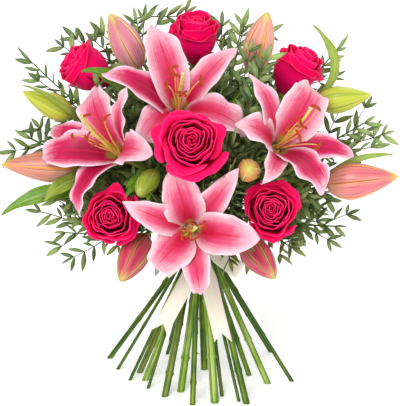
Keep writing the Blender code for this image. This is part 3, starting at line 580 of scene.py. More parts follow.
def run(tree, source, name, **values):
    """Runs a tree on an object and returns the result as a new object with a plain mesh; the source is removed."""
    scene.collection.objects.link(source)
    nodes = source.modifiers.new(name, "NODES")
    nodes.node_group = tree
    sockets = {s.name: s.identifier for s in tree.interface.items_tree if s.in_out == "INPUT"}
    for label, value in values.items():
        nodes[sockets[label.replace("_", " ")]] = value
    bpy.context.view_layer.update()
    graph = bpy.context.evaluated_depsgraph_get()
    mesh = bpy.data.meshes.new_from_object(source.evaluated_get(graph), depsgraph=graph)
    bpy.data.objects.remove(source, do_unlink=True)
    return bpy.data.objects.new(name, mesh)


# %% Stamens
STAMEN_HEIGHT, STAMEN_LEAN = 58 * MM, 13 * MM


def guide(name, shape):
    """An object that only guides Geometry Nodes; it is removed after use."""
    mesh = bpy.data.meshes.new(name)
    mesh.from_pydata(np.concatenate(shape.points).tolist(), [], shape.faces)
    mesh.uv_layers.new(name="blade").data.foreach_set("uv", np.concatenate(shape.places).ravel())
    mesh.attributes.new("finish", "INT", "FACE").data.foreach_set("value", shape.finish)
    mesh.shade_smooth()
    return bpy.data.objects.new(name, mesh)


def anther(shape, place, heading):
    """Two long lobes with a furrow between them, pinned at the middle of their back."""
    side = unit(np.cross(heading, UP))
    for hand in (-1, 1):
        line = np.array([place + heading * t * 7 * MM + side * hand * 0.8 * MM - UP * 2.2 * MM * t * t
                         for t in np.linspace(-1, 1, 9)])
        shape.tube(line, 1.0 * MM * np.sqrt(np.maximum(1 - np.linspace(-1, 1, 9) ** 4, 0.08)), 8, 1)


stamen = Shape()
filament = curve(np.zeros(3), UP * STAMEN_HEIGHT * 1.2, np.array((STAMEN_LEAN, 0, STAMEN_HEIGHT)),
                 np.array((STAMEN_LEAN * 1.9, 0, 14 * MM)), 14)
stamen.tube(filament, np.linspace(1.05, 0.5, 14) * MM, 8)
anther(stamen, filament[-1] + UP * 0.6 * MM, np.array((0.28, 0.96, 0)))

ring_tree, ring_in = group("ring of stamens", Stamen="Object", Count="Int", Radius="Float", Sway="Float",
                           Seed="Int", Filament="Material", Pollen="Material")
circle = add(ring_tree, "GeometryNodeMeshCircle", {"Vertices": ring_in["Count"], "Radius": ring_in["Radius"]})
where = add(ring_tree, "GeometryNodeInputPosition")
sway = add(ring_tree, "FunctionNodeRandomValue", {"Min": (-1,) * 3, "Max": (1,) * 3, "Seed": ring_in["Seed"]},
           data_type="FLOAT_VECTOR")
sway = add(ring_tree, "ShaderNodeVectorMath", {0: sway, "Scale": ring_in["Sway"]}, operation="SCALE")
axis = add(ring_tree, "ShaderNodeVectorMath", {0: sway, 1: (0, 0, 1)}, operation="ADD")
turned = add(ring_tree, "FunctionNodeAxesToRotation", {"Primary Axis": axis, "Secondary Axis": where},
             primary_axis="Z", secondary_axis="X")
growth = add(ring_tree, "FunctionNodeRandomValue", {"Min": 0.74, "Max": 1.06, "Seed": ring_in["Seed"]})
placed = add(ring_tree, "GeometryNodeInstanceOnPoints", {
    "Points": circle, "Rotation": turned, "Scale": growth,
    "Instance": add(ring_tree, "GeometryNodeObjectInfo", {"Object": ring_in["Stamen"]}).node.outputs["Geometry"]})
solid = add(ring_tree, "GeometryNodeRealizeInstances", {"Geometry": placed})
solid = add(ring_tree, "GeometryNodeSetMaterial", {"Geometry": solid, "Material": ring_in["Filament"]})
number = add(ring_tree, "GeometryNodeInputNamedAttribute", {"Name": "finish"}, data_type="INT")
on_anther = add(ring_tree, "FunctionNodeCompare", {"A": number, "B": 0}, data_type="INT", operation="GREATER_THAN")
solid = add(ring_tree, "GeometryNodeSetMaterial",
            {"Geometry": solid, "Selection": on_anther, "Material": ring_in["Pollen"]})
add(ring_tree, "NodeGroupOutput", {0: solid})
STAMEN_SIZE = {"top": 0.98, "left": 1.0, "right": 1.0, "front": 0.80}

for number, (key, lily) in enumerate(LILIES.items()):
    one = guide("one_stamen", stamen)
    ring = run(ring_tree, guide("stamens", stamen), "stamens", Stamen=one, Count=6, Radius=2.2 * MM,
               Sway=0.10 if key == "front" else 0.26, Seed=number + 3, Filament=filament_green, Pollen=pollen_rust)
    bpy.data.objects.remove(one, do_unlink=True)
    turn, place = seat(lily["at"], *lily["facing"])
    spin = Matrix.Rotation(math.radians(20), 3, "Z")
    co = np.array([v.co for v in ring.data.vertices]) * STAMEN_SIZE[key] @ np.array(spin).T + (0, 0, 6 * MM)
    ring.data.vertices.foreach_set("co", (co @ turn + place).ravel())
    dress(ring, [], ["lily_stamens_" + key])
    ring.name = key + "_lily_stamens"
    tip = at(lily["pistil"])
    style = curve(np.array((0, 0, 3 * MM)), UP * tip[2], tip, at((8, 20, 46)), 18)
    shape = Shape()
    thick = np.linspace(1.8, 1.2, 18) * MM * (1 + 0.25 * smooth(np.linspace(0, 1, 18), 0.8, 1))
    shape.tube(style @ turn + place, thick, 10)
    for lobe in range(3):
        a = 2 * math.pi * lobe / 3
        out = np.array((math.cos(a), math.sin(a), 0.35))
        heading = unit(style[-1] - style[-2])
        bulge = curve(tip - heading * MM, heading * 4 * MM, tip + out * 2.3 * MM + heading * 1.2 * MM, out * 3 * MM, 6)
        shape.tube(bulge @ turn + place, np.array((1.2, 1.5, 1.6, 1.5, 1.2, 0.6)) * MM, 8, 1)
    piece(key + "_lily_pistil", shape, [style_green, stigma_pale])
print("Stamens and pistils are in the throats")

# %% [markdown]
# ## Rose finishes
# A rose petal looks like velvet: its skin cells are tiny cones that catch light at a grazing angle, so the colour is
# deep where the petal faces the eye and softer at its rim. Sheen gives some of that, and a lighter band painted along
# the rim is a painted highlight. Low on each petal, deep in the flower, the colour is painted darker as painted shade.


# %% Rose finishes
def rose_finish(name, deep, body, rim, painted_shade_to):
    made, tree, shader = finish(name, 0.6, Subsurface_Weight=0.1, Subsurface_Scale=0.002, Sheen_Weight=0.02,
                                Sheen_Roughness=0.45, Specular_IOR_Level=0.12,
                                Subsurface_Radius=(1.0, 0.2, 0.3))
    shader.inputs["Sheen Tint"].default_value = srgb("#FF9ABA")
    across, far, _ = blade_places(tree)
    veins = streaks(tree, 16, 2.2)
    height = sum_of(tree, "ADD", far, sum_of(tree, "MULTIPLY_ADD", veins, 0.16, -0.08))
    # painted shade: the colour runs from the deep colour low on the petal, deep in the flower, to the body colour
    # higher up
    colour = blend_of(tree, step_of(tree, height, painted_shade_to, 0.92), deep, body)
    # painted highlight: the rim colour lightens the top edge of each petal
    colour = blend_of(tree, step_of(tree, height, 0.90, 1.0, 0.0, 0.8), colour, rim)
    patches = step_of(tree, speckle(tree, 14), 0.4, 0.7, 0.0, 0.15)
    tree.links.new(blend_of(tree, patches, colour, deep), shader.inputs["Base Color"])
    raise_by(tree, shader, veins, 0.25)
    return made


# the first colour is painted shade deep in the flower and the third a painted highlight on the rims, on faces and backs
# alike
rose_face = rose_finish("rose petal, velvety", "#B0003A", "#F2045C", "#F63078", 0.34)
rose_back = rose_finish("rose petal back", "#E0005A", "#F80064", "#FA347E", 0.0)

# %% [markdown]
# ## Rose petals
# A rose opens in a spiral: each petal stands a golden angle round from the last, a little further out, wider and more
# open. The first ones wrap the heart tightly, and the last ones lean out and roll back at their rims, which gives the
# flower its angular outline. One surface makes them all, with the petal's share of the way out as its main input.

# %% Rose petals
ROSE_KINDS = {"open": (1.0, 24, 1.07), "goblet": (0.42, 22, 1.1)}  # how open, how many petals and how stout
GOLDEN_ANGLE = math.pi * (3 - math.sqrt(5))


def rose_petal(radius, height, share, seed, spread):
    """A petal's surface, X away from the flower's axis: share is 0 at the heart, spread is 1 in an open flower."""
    guard = smooth(share, 0.72, 0.95)  # the last few petals are broad and roll back
    span = math.radians(140 - 78 * share**0.7)
    grown = share**0.95 - 0.11 * spread * math.sin(math.pi * min(share / 0.8, 1))  # the heart is tighter than the rest
    belly = radius * (0.06 + (0.84 - 0.08 * spread) * grown - 0.06 * guard) * (1 + 0.13 * (hashed(seed, 9) - 0.5))
    crown = 0.34 + 0.12 * math.sin(math.pi * min(1, share * 1.1)) + 0.12 * (hashed(seed, 8) - 0.5)
    crown = height * (crown + 0.05 * share * (1 - spread) - 0.20 * spread * share**3)
    bottom = -height * 0.5
    roll = radius * (0.014 + 0.024 * share + (0.07 + 0.06 * spread) * guard) * (0.6 + 0.8 * hashed(seed, 5))
    tilt = 0.26 * height * (hashed(seed, 6) - 0.5)
    flat = 0.22 * smooth(share, 0.15, 0.7)
    neck = 0.16 * (1 - share)
    peak = 0.5 * (hashed(seed, 4) - 0.5)
    pinch = guard * (0.25 + 0.75 * spread)
    full = 0.45 + 0.25 * spread

    def surface(u, v):
        side = 2 * u - 1
        point = np.exp(-((side - peak) / 0.22) ** 2)
        edge = 1 - (0.05 + 0.14 * share) * abs(side) ** 3 - 0.03 * np.sin(6 * side + seed) * side**2
        s = v * (edge + 0.03 * point)
        z = bottom + (crown - bottom) * (1 - abs(1 - s) ** 1.25) + tilt * side * s * s
        r = belly * (0.16 + 0.84 * np.sin(np.minimum(s / full, 1) * math.pi / 2) ** 0.9)
        r = r * (1 - neck * smooth(s, 0.6, 1.05))
        turn = side * span * (0.42 + 0.58 * np.sin(np.minimum(s / 0.8, 1) * math.pi / 2))
        r = r * (1 + flat * (1 / np.cos(np.clip(0.62 * turn, -1, 1)) - 1) + 0.06 * side * smooth(s, 0.2, 0.8))
        lip = smooth(s, 0.86 - 0.2 * guard, 1.0) ** 1.4
        r = r + roll * lip * (1 + 0.5 * side**2 + 0.9 * point * pinch)
        z = z - roll * lip**1.5 * (0.4 + guard * (0.8 + 0.5 * side**2) - 0.9 * point * pinch)
        ripple = (0.6 + 0.5 * spread) * (1.1 * np.sin(4.2 * side + seed) + 0.7 * np.sin(10 * side - 2 * seed))
        r = r + ripple * MM * smooth(s, 0.5, 1) * (0.5 + share)
        return r * np.cos(turn), r * np.sin(turn), z

    return surface


for number, (key, rose) in enumerate(ROSES.items()):
    turn, place = seat(rose["at"], *rose["facing"])
    shape = Shape()
    kind = "goblet" if rose["height"] > 54 else "open"
    spread, petals, size = ROSE_KINDS[kind]
    for petal in range(petals):
        share, seed = petal / (petals - 1), petal + 50 * number
        a = GOLDEN_ANGLE * petal + number + 0.5 * hashed(seed, 7)
        out = np.array(((math.cos(a), math.sin(a), 0), (-math.sin(a), math.cos(a), 0), (0, 0, 1)))
        made = rose_petal(rose["radius"] * size * MM, rose["height"] * MM, share, seed, spread)
        shape.sheet(made, 16, 17, 0, (out @ turn, place))
    piece(key + "_rose_petals", shape, [rose_face, rose_back], ["rose_bloom_" + key], 0.6 * MM)
print("Roses:", len(ROSES), "of", ROSE_KINDS)

# %% [markdown]
# ## Lily buds
# A bud is six tepals still pressed together. The three outer ones meet in furrows, and each has a raised midrib, so the
# bud is three-sided with ribs. A pink bud is mauve with yellow-green ribs and tip; a young one is green all over.


# %% Bud finishes
def bud_finish(name, low, flank, rib, tip, dark):
    """Six lines run along a bud: three ribs and, between them, the three furrows where the tepals meet."""
    made, tree, shader = finish(name, 0.36, Subsurface_Weight=0.1, Subsurface_Scale=0.003, Coat_Weight=0.15,
                                Coat_Roughness=0.3)
    _, far, round_it = blade_places(tree)
    veins = streaks(tree, 70, 1.6)
    turns = sum_of(tree, "PINGPONG", sum_of(tree, "MULTIPLY", round_it, 3.0), 0.5)
    turns = sum_of(tree, "ADD", turns, sum_of(tree, "MULTIPLY_ADD", veins, 0.05, -0.025))
    away = sum_of(tree, "PINGPONG", turns, 0.25)
    drifted = sum_of(tree, "ADD", far, sum_of(tree, "MULTIPLY_ADD", veins, 0.4, -0.2))
    colour = blend_of(tree, step_of(tree, drifted, 0.0, 0.5), low, flank)
    colour = blend_of(tree, step_of(tree, away, 0.04, 0.2, 0.45, 0.0), colour, low)
    colour = blend_of(tree, step_of(tree, veins, 0.50, 0.72, 0.0, 0.7), colour, dark)
    colour = blend_of(tree, step_of(tree, turns, 0.02, 0.045, 0.95, 0.0), colour, rib)
    edge = sum_of(tree, "ABSOLUTE", sum_of(tree, "SUBTRACT", turns, 0.055))
    colour = blend_of(tree, step_of(tree, edge, 0.0, 0.018, 0.85, 0.0), colour, dark)
    colour = blend_of(tree, step_of(tree, turns, 0.455, 0.475, 0.0, 0.7), colour, rib)
    colour = blend_of(tree, step_of(tree, turns, 0.475, 0.495, 0.0, 0.85), colour, dark)
    colour = blend_of(tree, step_of(tree, drifted, 0.86, 1.02), colour, tip)
    tree.links.new(colour, shader.inputs["Base Color"])
    raise_by(tree, shader, veins, 0.35)
    return made


pink_bud = bud_finish("pink lily bud, waxy", "#DCA49A", "#CA7486", "#E8C458", "#C8C244", "#7E2844")
peach_bud = bud_finish("peach lily bud, waxy", "#D8AA8A", "#CE8070", "#E89018", "#CCC234", "#963A42")
cream_bud = bud_finish("cream lily bud, waxy", "#E4BC9C", "#DE9886", "#EC9C24", "#CCC234", "#AE4A4C")
rosy_bud = bud_finish("rosy lily bud, waxy", "#E0A088", "#D46A74", "#E89C2C", "#D2C638", "#9A2C46")
red_bud = bud_finish("red lily bud, waxy", "#E4887C", "#C8405C", "#A8A83C", "#BCB848", "#780F2E")
green_bud = bud_finish("green lily bud, waxy", "#BEBC50", "#B8C02A", "#94A624", "#C8C244", "#82961E")
blush_bud = bud_finish("ripening lily bud, waxy", "#C8BE5C", "#D8985C", "#D8D668", "#B8C44C", "#B86048")
leaf_bud = bud_finish("bud in its bracts", "#869C36", "#9CB236", "#B8C44E", "#A8B644", "#5E7A26")
OWN_FINISH = {"small_bud_left": leaf_bud, "small_bud_right": blush_bud, "pink_bud_top_left": pink_bud,
              "pink_bud_low_left": red_bud, "pink_bud_low_right": red_bud, "pink_bud_right": rosy_bud, "pink_bud_top_right": cream_bud}
BLUNT = [(0, 0.0), (0.012, 0.18), (0.05, 0.38), (0.12, 0.58), (0.28, 0.84), (0.48, 0.98), (0.64, 0.94),
         (0.80, 0.74), (0.91, 0.46), (0.965, 0.24), (0.99, 0.10), (1.0, 0.0)]
SHARP = [(0, 0.0), (0.012, 0.22), (0.05, 0.48), (0.12, 0.72), (0.24, 0.94), (0.38, 1.0), (0.55, 0.86),
         (0.72, 0.62), (0.86, 0.37), (0.95, 0.17), (0.985, 0.07), (1.0, 0.0)]
POINTED = [(0, 0.0), (0.012, 0.20), (0.05, 0.42), (0.12, 0.66), (0.26, 0.92), (0.42, 1.0), (0.58, 0.93),
           (0.75, 0.70), (0.88, 0.43), (0.955, 0.21), (0.987, 0.09), (1.0, 0.0)]
SHARP_BUDS = ("pink_bud_left", "pink_bud_right", "green_bud_left", "green_bud_right")


# %% Buds
def bud(radius, length, profile):
    def surface(u, v):
        turn = -2 * math.pi * u
        from_rib = (u * 3 + 0.5) % 1 - 0.5
        wide = radius * through(profile, v)
        body = np.sin(math.pi * np.clip(v, 0, 1))
        wide = wide * (1 + 0.03 * np.cos(3 * turn)) + 0.55 * MM * body * np.exp(-(from_rib / 0.055) ** 2)
        wide = wide - 0.75 * MM * body * np.exp(-((abs(from_rib) - 0.5) / 0.035) ** 2) - 0.35 * MM * body * np.exp(
            -((abs(from_rib) - 0.12) / 0.03) ** 2)
        wide = np.maximum(wide, 0)
        return wide * np.cos(turn), wide * np.sin(turn), length * v

    return surface


for name, (_, base, tip, radius, roll) in BUDS.items():
    shape = Shape()
    start, end = at(base), at(tip)
    reach = np.linalg.norm(end - start)
    profile = SHARP if name in SHARP_BUDS else POINTED if "pink" in name else BLUNT
    shape.sheet(bud(radius * MM, reach, profile), 30, 72, 0, aimed(start, (end - start) / reach, roll))
    made = OWN_FINISH.get(name) or (peach_bud if name.startswith("pink") else green_bud)
    piece(name.replace("bud", "lily_bud"), shape, [made], [name])
print("Buds:", len(BUDS))

# %% [markdown]
# ## Stem and leaf finishes
# Stems are bright green with fine lengthwise fibres and a little shine, with broad darker bands along them as painted
# shade on their sides, and the cut end shows pale pith. Leaves are darker and glossier above, with a pale midrib and
# side veins.


# %% Stem and leaf finishes
def stem_finish(name, main, second, dark, roughness=0.42):
    made, tree, shader = finish(name, roughness, Specular_IOR_Level=0.28)
    fibres = streaks(tree, 11, 2.0)
    patches = speckle(tree, 30)
    colour = blend_of(tree, step_of(tree, patches, 0.35, 0.65), main, second)
    colour = blend_of(tree, step_of(tree, fibres, 0.42, 0.66, 0.0, 0.8), colour, dark)
    # painted shade: broad bands of the dark colour along the stem darken its sides
    painted_shade_bands = streaks(tree, 3.2, 0.6, 1.0)
    colour = blend_of(tree, step_of(tree, painted_shade_bands, 0.42, 0.58, 0.0, 0.6), colour, dark)
    tree.links.new(colour, shader.inputs["Base Color"])
    raise_by(tree, shader, fibres, 0.12)
    return made


def leaf_finish(name, main, second, rib, base, side_veins, roughness):
    made, tree, shader = finish(name, roughness, Subsurface_Weight=0.06, Subsurface_Scale=0.002,
                                Specular_IOR_Level=0.35)
    across, far, _ = blade_places(tree)
    off = add(tree, "ShaderNodeMath", {0: across}, operation="ABSOLUTE")
    shade = add(tree, "ShaderNodeAttribute", attribute_name="shade").node.outputs["Fac"]
    colour = blend_of(tree, sum_of(tree, "ADD", shade, step_of(tree, speckle(tree, 9), 0.3, 0.7, -0.15, 0.3)),
                      main, second)
    slanted = sum_of(tree, "ADD", sum_of(tree, "MULTIPLY", far, side_veins), sum_of(tree, "MULTIPLY", off, -2.2))
    veins = sum_of(tree, "PINGPONG", slanted, 0.5)
    colour = blend_of(tree, step_of(tree, veins, 0.0, 0.12, 0.3, 0.0), colour, rib)
    colour = blend_of(tree, step_of(tree, off, 0.03, 0.12, 0.75, 0.0), colour, rib)
    colour = blend_of(tree, step_of(tree, far, 0.05, 0.5, 0.6, 0.0), colour, base)
    tree.links.new(colour, shader.inputs["Base Color"])
    raise_by(tree, shader, sum_of(tree, "MINIMUM", veins, step_of(tree, off, 0.0, 0.15)), 0.3)
    return made


# each stem's last colour is the dark of its fibres and also of its painted shade bands
lily_green = stem_finish("lily stem, fresh", "#86A82C", "#B2C866", "#305A06")
rose_green = stem_finish("rose stem, fresh", "#4C7408", "#82A024", "#143000")
olive_green = stem_finish("rose stem, older", "#5E7A18", "#8E9A42", "#223808")
spray_green = stem_finish("spray stem, woody", "#40660C", "#648222", "#122A00", 0.5)
twig_brown = stem_finish("twig, green to brown", "#56692F", "#6B5A38", "#3E4020", 0.6)
throat_green = plain_finish("lily throat, green gold", "#A8A845", "#B07850", 4, 0.5)
pith = plain_finish("cut stem end, pale pith", "#C2C98A", "#9AAA58", 1.0, 0.7, 0.1)
spray_leaf = leaf_finish("spray leaflet, leathery", "#9AB46A", "#40602C", "#ACC080", "#3E5C26", 7.0, 0.42)
lily_leaf = leaf_finish("lily leaf, smooth", "#64901E", "#205008", "#8CAE48", "#2C480C", 0.0, 0.34)
young_leaf = leaf_finish("young lily leaf", "#8CA23C", "#587A22", "#B0BE66", "#6A6426", 0.0, 0.34)
grey_leaf = leaf_finish("lily leaf from below", "#8FA096", "#74887A", "#A9B8A8", "#74887A", 0.0, 0.5)

# %% [markdown]
# ## Stems
# Every stem runs from its cut end on the floor, through the binding and up to its flower. It leans as the splayed bunch
# does, stands upright through the tie and bends away above it. Where it crosses the binding is read from the packed
# model. The nodes where leaves were stripped off are slight swellings, with a ring.


# %% Stem lines
def crossing(node):
    """Where a stem passes the binding: the middle of the model's points there."""
    points = np.unique(np.round([v.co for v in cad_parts[node].data.vertices], 6), axis=0)
    near = (abs(points[:, 2] - TIE_HEIGHT) < 0.5 * MM) & (np.hypot(points[:, 0], points[:, 1]) < 26 * MM)
    return points[near].mean(0) * (1, 1, 0)


def splay(height):
    reach = math.hypot(TIE_HEIGHT, TIE_SOFTNESS) - TIE_SOFTNESS
    return (np.hypot(TIE_HEIGHT - height, TIE_SOFTNESS) - TIE_SOFTNESS) / reach


def stem_line(node, foot, head, aim, via=None):
    """The stem's points below the tie, and those above it."""
    tie, foot = crossing(node), at((*foot, 0))
    heights = np.linspace(0, TIE_HEIGHT, 56)[:, None]
    low = tie + (foot - tie) * splay(heights) + heights * UP
    bound = tie + UP * (TIE_HEIGHT + STEM_RISE)
    if via is None:
        span = np.linalg.norm(head - bound)
        return low, curve(bound, UP * span, head, aim * span * 0.55, 36)
    middle, heading = at(via), unit(head - bound)
    below, above = np.linalg.norm(middle - bound), np.linalg.norm(head - middle)
    first = curve(bound, UP * below * 0.8, middle, heading * below, 16)
    return low, np.concatenate((first[:-1], curve(middle, heading * above, head, aim * above, 20)))


def with_nodes(line, radius, places, taper=0.3):
    """Radii along a line, a little thinner to the top, with a swelling at each place in metres from the foot."""
    gone = lengths(line)
    radii = radius * (1 - taper * smooth(gone, 0.16, gone[-1]))
    for number, place in enumerate(places):
        radii = radii + radius * (0.26 * np.exp(-((gone - place) / (1.4 * MM)) ** 2)
                                  + 0.07 * np.exp(-((gone - place - 3 * MM) / (4 * MM)) ** 2))
    return radii


def resampled(line, step):
    gone = lengths(line)
    marks = np.linspace(0, gone[-1], max(3, int(gone[-1] / step)))
    return np.stack([np.interp(marks, gone, line[:, k]) for k in range(3)], -1)


# %% Lily stems
STOUTER = 1.17  # living stems bulge a little past the model's tubes
stalks = {}
for number, (key, lily) in enumerate(LILIES.items()):
    aim = facing(*lily["facing"])
    head = at(lily["at"]) - aim * 7.7 * MM
    low, high = stem_line("lily_stem_" + key, lily["foot"], head, aim)
    line = resampled(np.concatenate((low, high)), 1.6 * MM)
    shape = Shape()
    marks = [(28 + 46 * hashed(number, 1) + 62 * n) * MM for n in range(3)]
    shape.tube(line, with_nodes(line, STOUTER * lily["stem"] * MM / 2, marks), 14, 0, cut=1)
    flare = curve(head - aim * 3 * MM, aim * 9 * MM, at(lily["at"]) + aim * 5 * MM, aim * 7 * MM, 10)
    shape.tube(flare, np.array((2.4, 2.8, 3.4, 4.2, 5.0, 5.6, 6.0, 6.0, 4.6, 1.6)) * MM, 14, 2)
    bound, middle = high[0], high[len(high) // 2]
    heading = unit(head - middle)
    for name, (host, base, tip, *_) in BUDS.items():
        if host == key:
            start, end = at(base), at(tip)
            pointing = unit(end - start)
            span = np.linalg.norm(start - middle)
            stalks[name] = curve(middle, heading * span * 0.8, start + pointing * 1.5 * MM, pointing * span * 0.8, 26)
            shape.tube(stalks[name], 2.1 * MM * (1 + 0.35 * smooth(np.linspace(0, 1, 26), 0.85, 1)), 10)
    piece(key + "_lily_stem_and_stalks", shape, [lily_green, pith, throat_green], ["lily_stem_" + key])
print("Lily stems carry", len(stalks), "bud stalks")

# %% [markdown]
# ## Rose stems
# A rose sits on a green hip, and five pointed sepals bend back from under it. The stem is darker than a lily's, and has
# a few small thorns left.

# %% Rose stems
SEPAL_OUTLINE = [(0, 0.5), (0.15, 0.95), (0.4, 0.9), (0.7, 0.5), (1.0, 0.02)]
for number, (key, rose) in enumerate(ROSES.items()):
    aim = facing(*rose["facing"])
    bottom = at(rose["at"]) - aim * (rose["height"] / 2 + 0.35) * MM
    hip = bottom - aim * 6.5 * MM
    low, high = stem_line("rose_stem_" + key, rose["foot"], hip - aim * 4 * MM, aim)
    line = resampled(np.concatenate((low, high)), 1.8 * MM)
    shape = Shape()
    marks = [(22 + 40 * hashed(number, 2) + 55 * n) * MM for n in range(3)]
    shape.tube(line, with_nodes(line, STOUTER * rose["stem"] * MM / 2, marks, 0.15), 14, 0, cut=1)
    cup = curve(hip - aim * 8 * MM, aim * 14 * MM, bottom + aim * 3 * MM, aim * 14 * MM, 10)
    shape.tube(cup, np.array((2.4, 3.4, 4.8, 6.0, 6.6, 6.6, 6.0, 5.4, 5.6, 3.0)) * MM, 14)
    level = unit(np.cross(aim, (0.2, 0.5, 0.84)))
    for sepal in range(5):
        a = 2 * math.pi * sepal / 5
        out = level * math.cos(a) + np.cross(aim, level) * math.sin(a)
        ribbon = curve(bottom - aim * 2 * MM + out * 4 * MM, out * 16 * MM, bottom + out * 19 * MM - aim * 12 * MM,
                       out * 10 * MM - aim * 24 * MM, 14)
        shape.blade(ribbon, 7 * MM, SEPAL_OUTLINE, aim, 0.8 * MM, 0.12, 0.4 * MM, 8, 0, 12)
    for thorn in range(4):
        spot, heading = along(line, 0.16 + 0.12 * thorn + 0.05 * hashed(number, thorn))
        out = unit(np.cross(heading, facing(90 * thorn + 40 * number, 20)))
        reach = rose["stem"] * MM / 2
        if abs(spot[2] - TIE_HEIGHT) > 24 * MM:
            shape.tube(curve(spot + out * reach * 0.6, out * 5 * MM, spot + out * (reach + 3.2 * MM) - heading * 1.8 * MM,
                             out * 3 * MM - heading * 4 * MM, 6), np.array((2.1, 1.5, 1.0, 0.6, 0.3, 0.1)) * MM, 6)
    piece(key + "_rose_stem_and_hip", shape, [olive_green if number in (1, 3) else rose_green, pith],
          ["rose_stem_" + key])
print("Rose stems:", len(ROSES))

# %% [markdown]
# ## Lily leaves
# A lily's leaves are long, smooth and pointed, with parallel veins. They stand off their stalk and arch over. One seen
# from below is grey-green. Two slim bracts stand by the green buds.

# %% Lily leaves
LEAF_OUTLINE = [(0, 0.12), (0.1, 0.42), (0.3, 0.86), (0.5, 1.0), (0.7, 0.86), (0.88, 0.42), (0.96, 0.16), (1.0, 0.01)]
FRONT_UP = np.array((0, -0.82, 0.57))


def leaf_line(stalk, share, tip, bow=0.0):
    place, heading = along(stalk, share)
    reach = at(tip) - place
    off = unit(reach - heading * (reach @ heading))
    base = place + off * 2 * MM
    reach = at(tip) - base
    length = np.linalg.norm(reach)
    start = off * length * 0.7 + heading * length * (0.4 + bow)
    return curve(base, start, at(tip), reach + np.array((-bow, 0, -0.5 * (bow == 0))) * length, 30)


for name, (host, share, tip, width) in LEAVES.items():
    shape = Shape()
    line = leaf_line(stalks[host], share, tip, 1.0 if name == "upper_right" else 0.0)
    shape.blade(line, width * MM, LEAF_OUTLINE, FRONT_UP, 0.9 * MM, 0.14, 1.5 * MM, 14, 0, 30)
    made = {"low": grey_leaf, "left_short": young_leaf, "upper_right": young_leaf}.get(name, lily_leaf)
    piece(name + "_lily_leaf", shape, [made], ["lily_leaf_" + name])
BRACTS = {  # the bud whose stalk carries it, how far along, its tip and its width
    "slim_bract_left": ("green_bud_left", 0.86, (-186, -74, 344), 6),
    "slim_bract_right": ("pink_bud_right", 0.97, (206, -60, 266), 7),
    "bract_small_left": ("small_bud_left", 0.9, (-66, -118, 258), 9),
    "bract_small_low": ("small_bud_left", 0.85, (-78, -112, 234), 9),
    "bract_small_side": ("small_bud_left", 0.92, (-76, -124, 248), 8),
    "bract_small_front": ("small_bud_left", 0.92, (-54, -132, 234), 8),
    "bract_star": ("small_bud_right", 0.9, (60, -134, 262), 8),
}
for name, (host, share, tip, width) in BRACTS.items():
    shape = Shape()
    shape.blade(leaf_line(stalks[host], share, tip), width * MM, LEAF_OUTLINE, FRONT_UP, 0.7 * MM, 0.16, 0.4 * MM, 10, 0, 24)
    piece(name, shape, [young_leaf if "slim" in name else lily_leaf])
print("Leaves and bracts:", len(LEAVES) + len(BRACTS))

# %% [markdown]
# ## Leafy sprays
# The greenery is thirteen woody sprigs. Their side twigs carry pairs of small pointed leaflets and end in one more. A
# florist turns back what would hide a flower, so twigs stop where they would meet a bloom or stand in front of it. The
# twigs are worked out here as lines with a thickness, and Geometry Nodes give them their bark and leaflets.

# %% Room for the flowers
flower_nodes = [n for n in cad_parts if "bloom" in n or "_bud_" in n]
flower_points, flower_faces, count = [], [], 0
for name in flower_nodes:
    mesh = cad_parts[name].data
    flower_points += [v.co.copy() for v in mesh.vertices]
    flower_faces += [[v + count for v in p.vertices] for p in mesh.polygons]
    count += len(mesh.vertices)
flower_tree = BVHTree.FromPolygons(flower_points, flower_faces)
HEADS = [(at(f["at"]), facing(*f["facing"]), 0.40 if "tepals" in f else 0.55, 36 * MM if "tepals" in f else f["radius"] * MM)
         for f in (*LILIES.values(), *ROSES.values())]


def is_free(point, clearance, kind):
    """Whether a point is clear of the flowers, of the space that each looks into and of the view of it."""
    if flower_tree.find_nearest(Vector(point))[3] < clearance:
        return False
    for place, aim, cone, radius in HEADS:
        away = point - place
        reach = np.linalg.norm(away)
        if kind != "edge" and reach < 115 * MM and away @ aim > reach * cone:
            return False
        towards = away @ to_camera
        if towards > 0 and np.linalg.norm(away - towards * to_camera) < radius * 0.85:
            return False
    inside = kind != "filler" or np.linalg.norm((point - ENVELOPE_CENTRE) / ENVELOPE_SIZE) < 1
    return inside and point[2] > LOWEST_TWIG


def free_part(line, clearance, start=0, kind="side"):
    """The part of a line before it meets a flower."""
    for number in range(start, len(line)):
        if not is_free(line[number], clearance, kind):
            return line[:number]
    return line


print("Flowers to keep clear of:", len(flower_nodes))

# %% Twigs
TWIG_STEP, TWIG_LENGTH, TWIG_ANGLE = 17 * MM, 50 * MM, math.radians(44)
LOWEST_TWIG = 154 * MM
ENVELOPE_CENTRE, ENVELOPE_SIZE = at((0, 0, 230)), at((190, 162, 164))
FILLERS = 200  # side branches that fill the bunch between the flowers
DOME_CENTRE, DOME_SIZE = at((0, 8, 202)), at((158, 152, 152))
rng = np.random.default_rng(4)


def leaf_face(point, heading):
    """The way that the leaflets of a twig look: outwards and up, with a random turn about the twig."""
    outward = np.array((point[0] * 0.4, -0.06 if point[1] < 0.05 else 0.10, 0.05))
    face = outward - heading * (outward @ heading) + 0.008 * rng.normal(size=3)
    return unit(face - heading * (face @ heading))


def side_twigs(line, first, size):
    """Twigs that leave a line on alternate sides from a share of its length onwards."""
    made, total = [], lengths(line)[-1]
    count = int(total * (1 - first) / TWIG_STEP)
    for number in range(count):
        place, heading = along(line, first + (1 - first) * (number + 0.3) / max(count, 1))
        face = leaf_face(place, heading)
        aside = np.cross(face, heading) * (1 if number % 2 else -1)
        out = unit(heading * math.cos(TWIG_ANGLE) + aside * math.sin(TWIG_ANGLE) + 0.16 * rng.normal(size=3))
        length = size * (1 - 0.45 * number / max(count, 1)) * rng.uniform(0.75, 1.2)
        twig = curve(place, out * length, place + unit(out + heading * 0.3) * length, (out + heading * 0.5) * length, 9)
        twig = free_part(twig, 3.5 * MM, 2)
        if len(twig) > 4:
            made.append((twig, 0.6 * MM, face, 0.12))
    return made


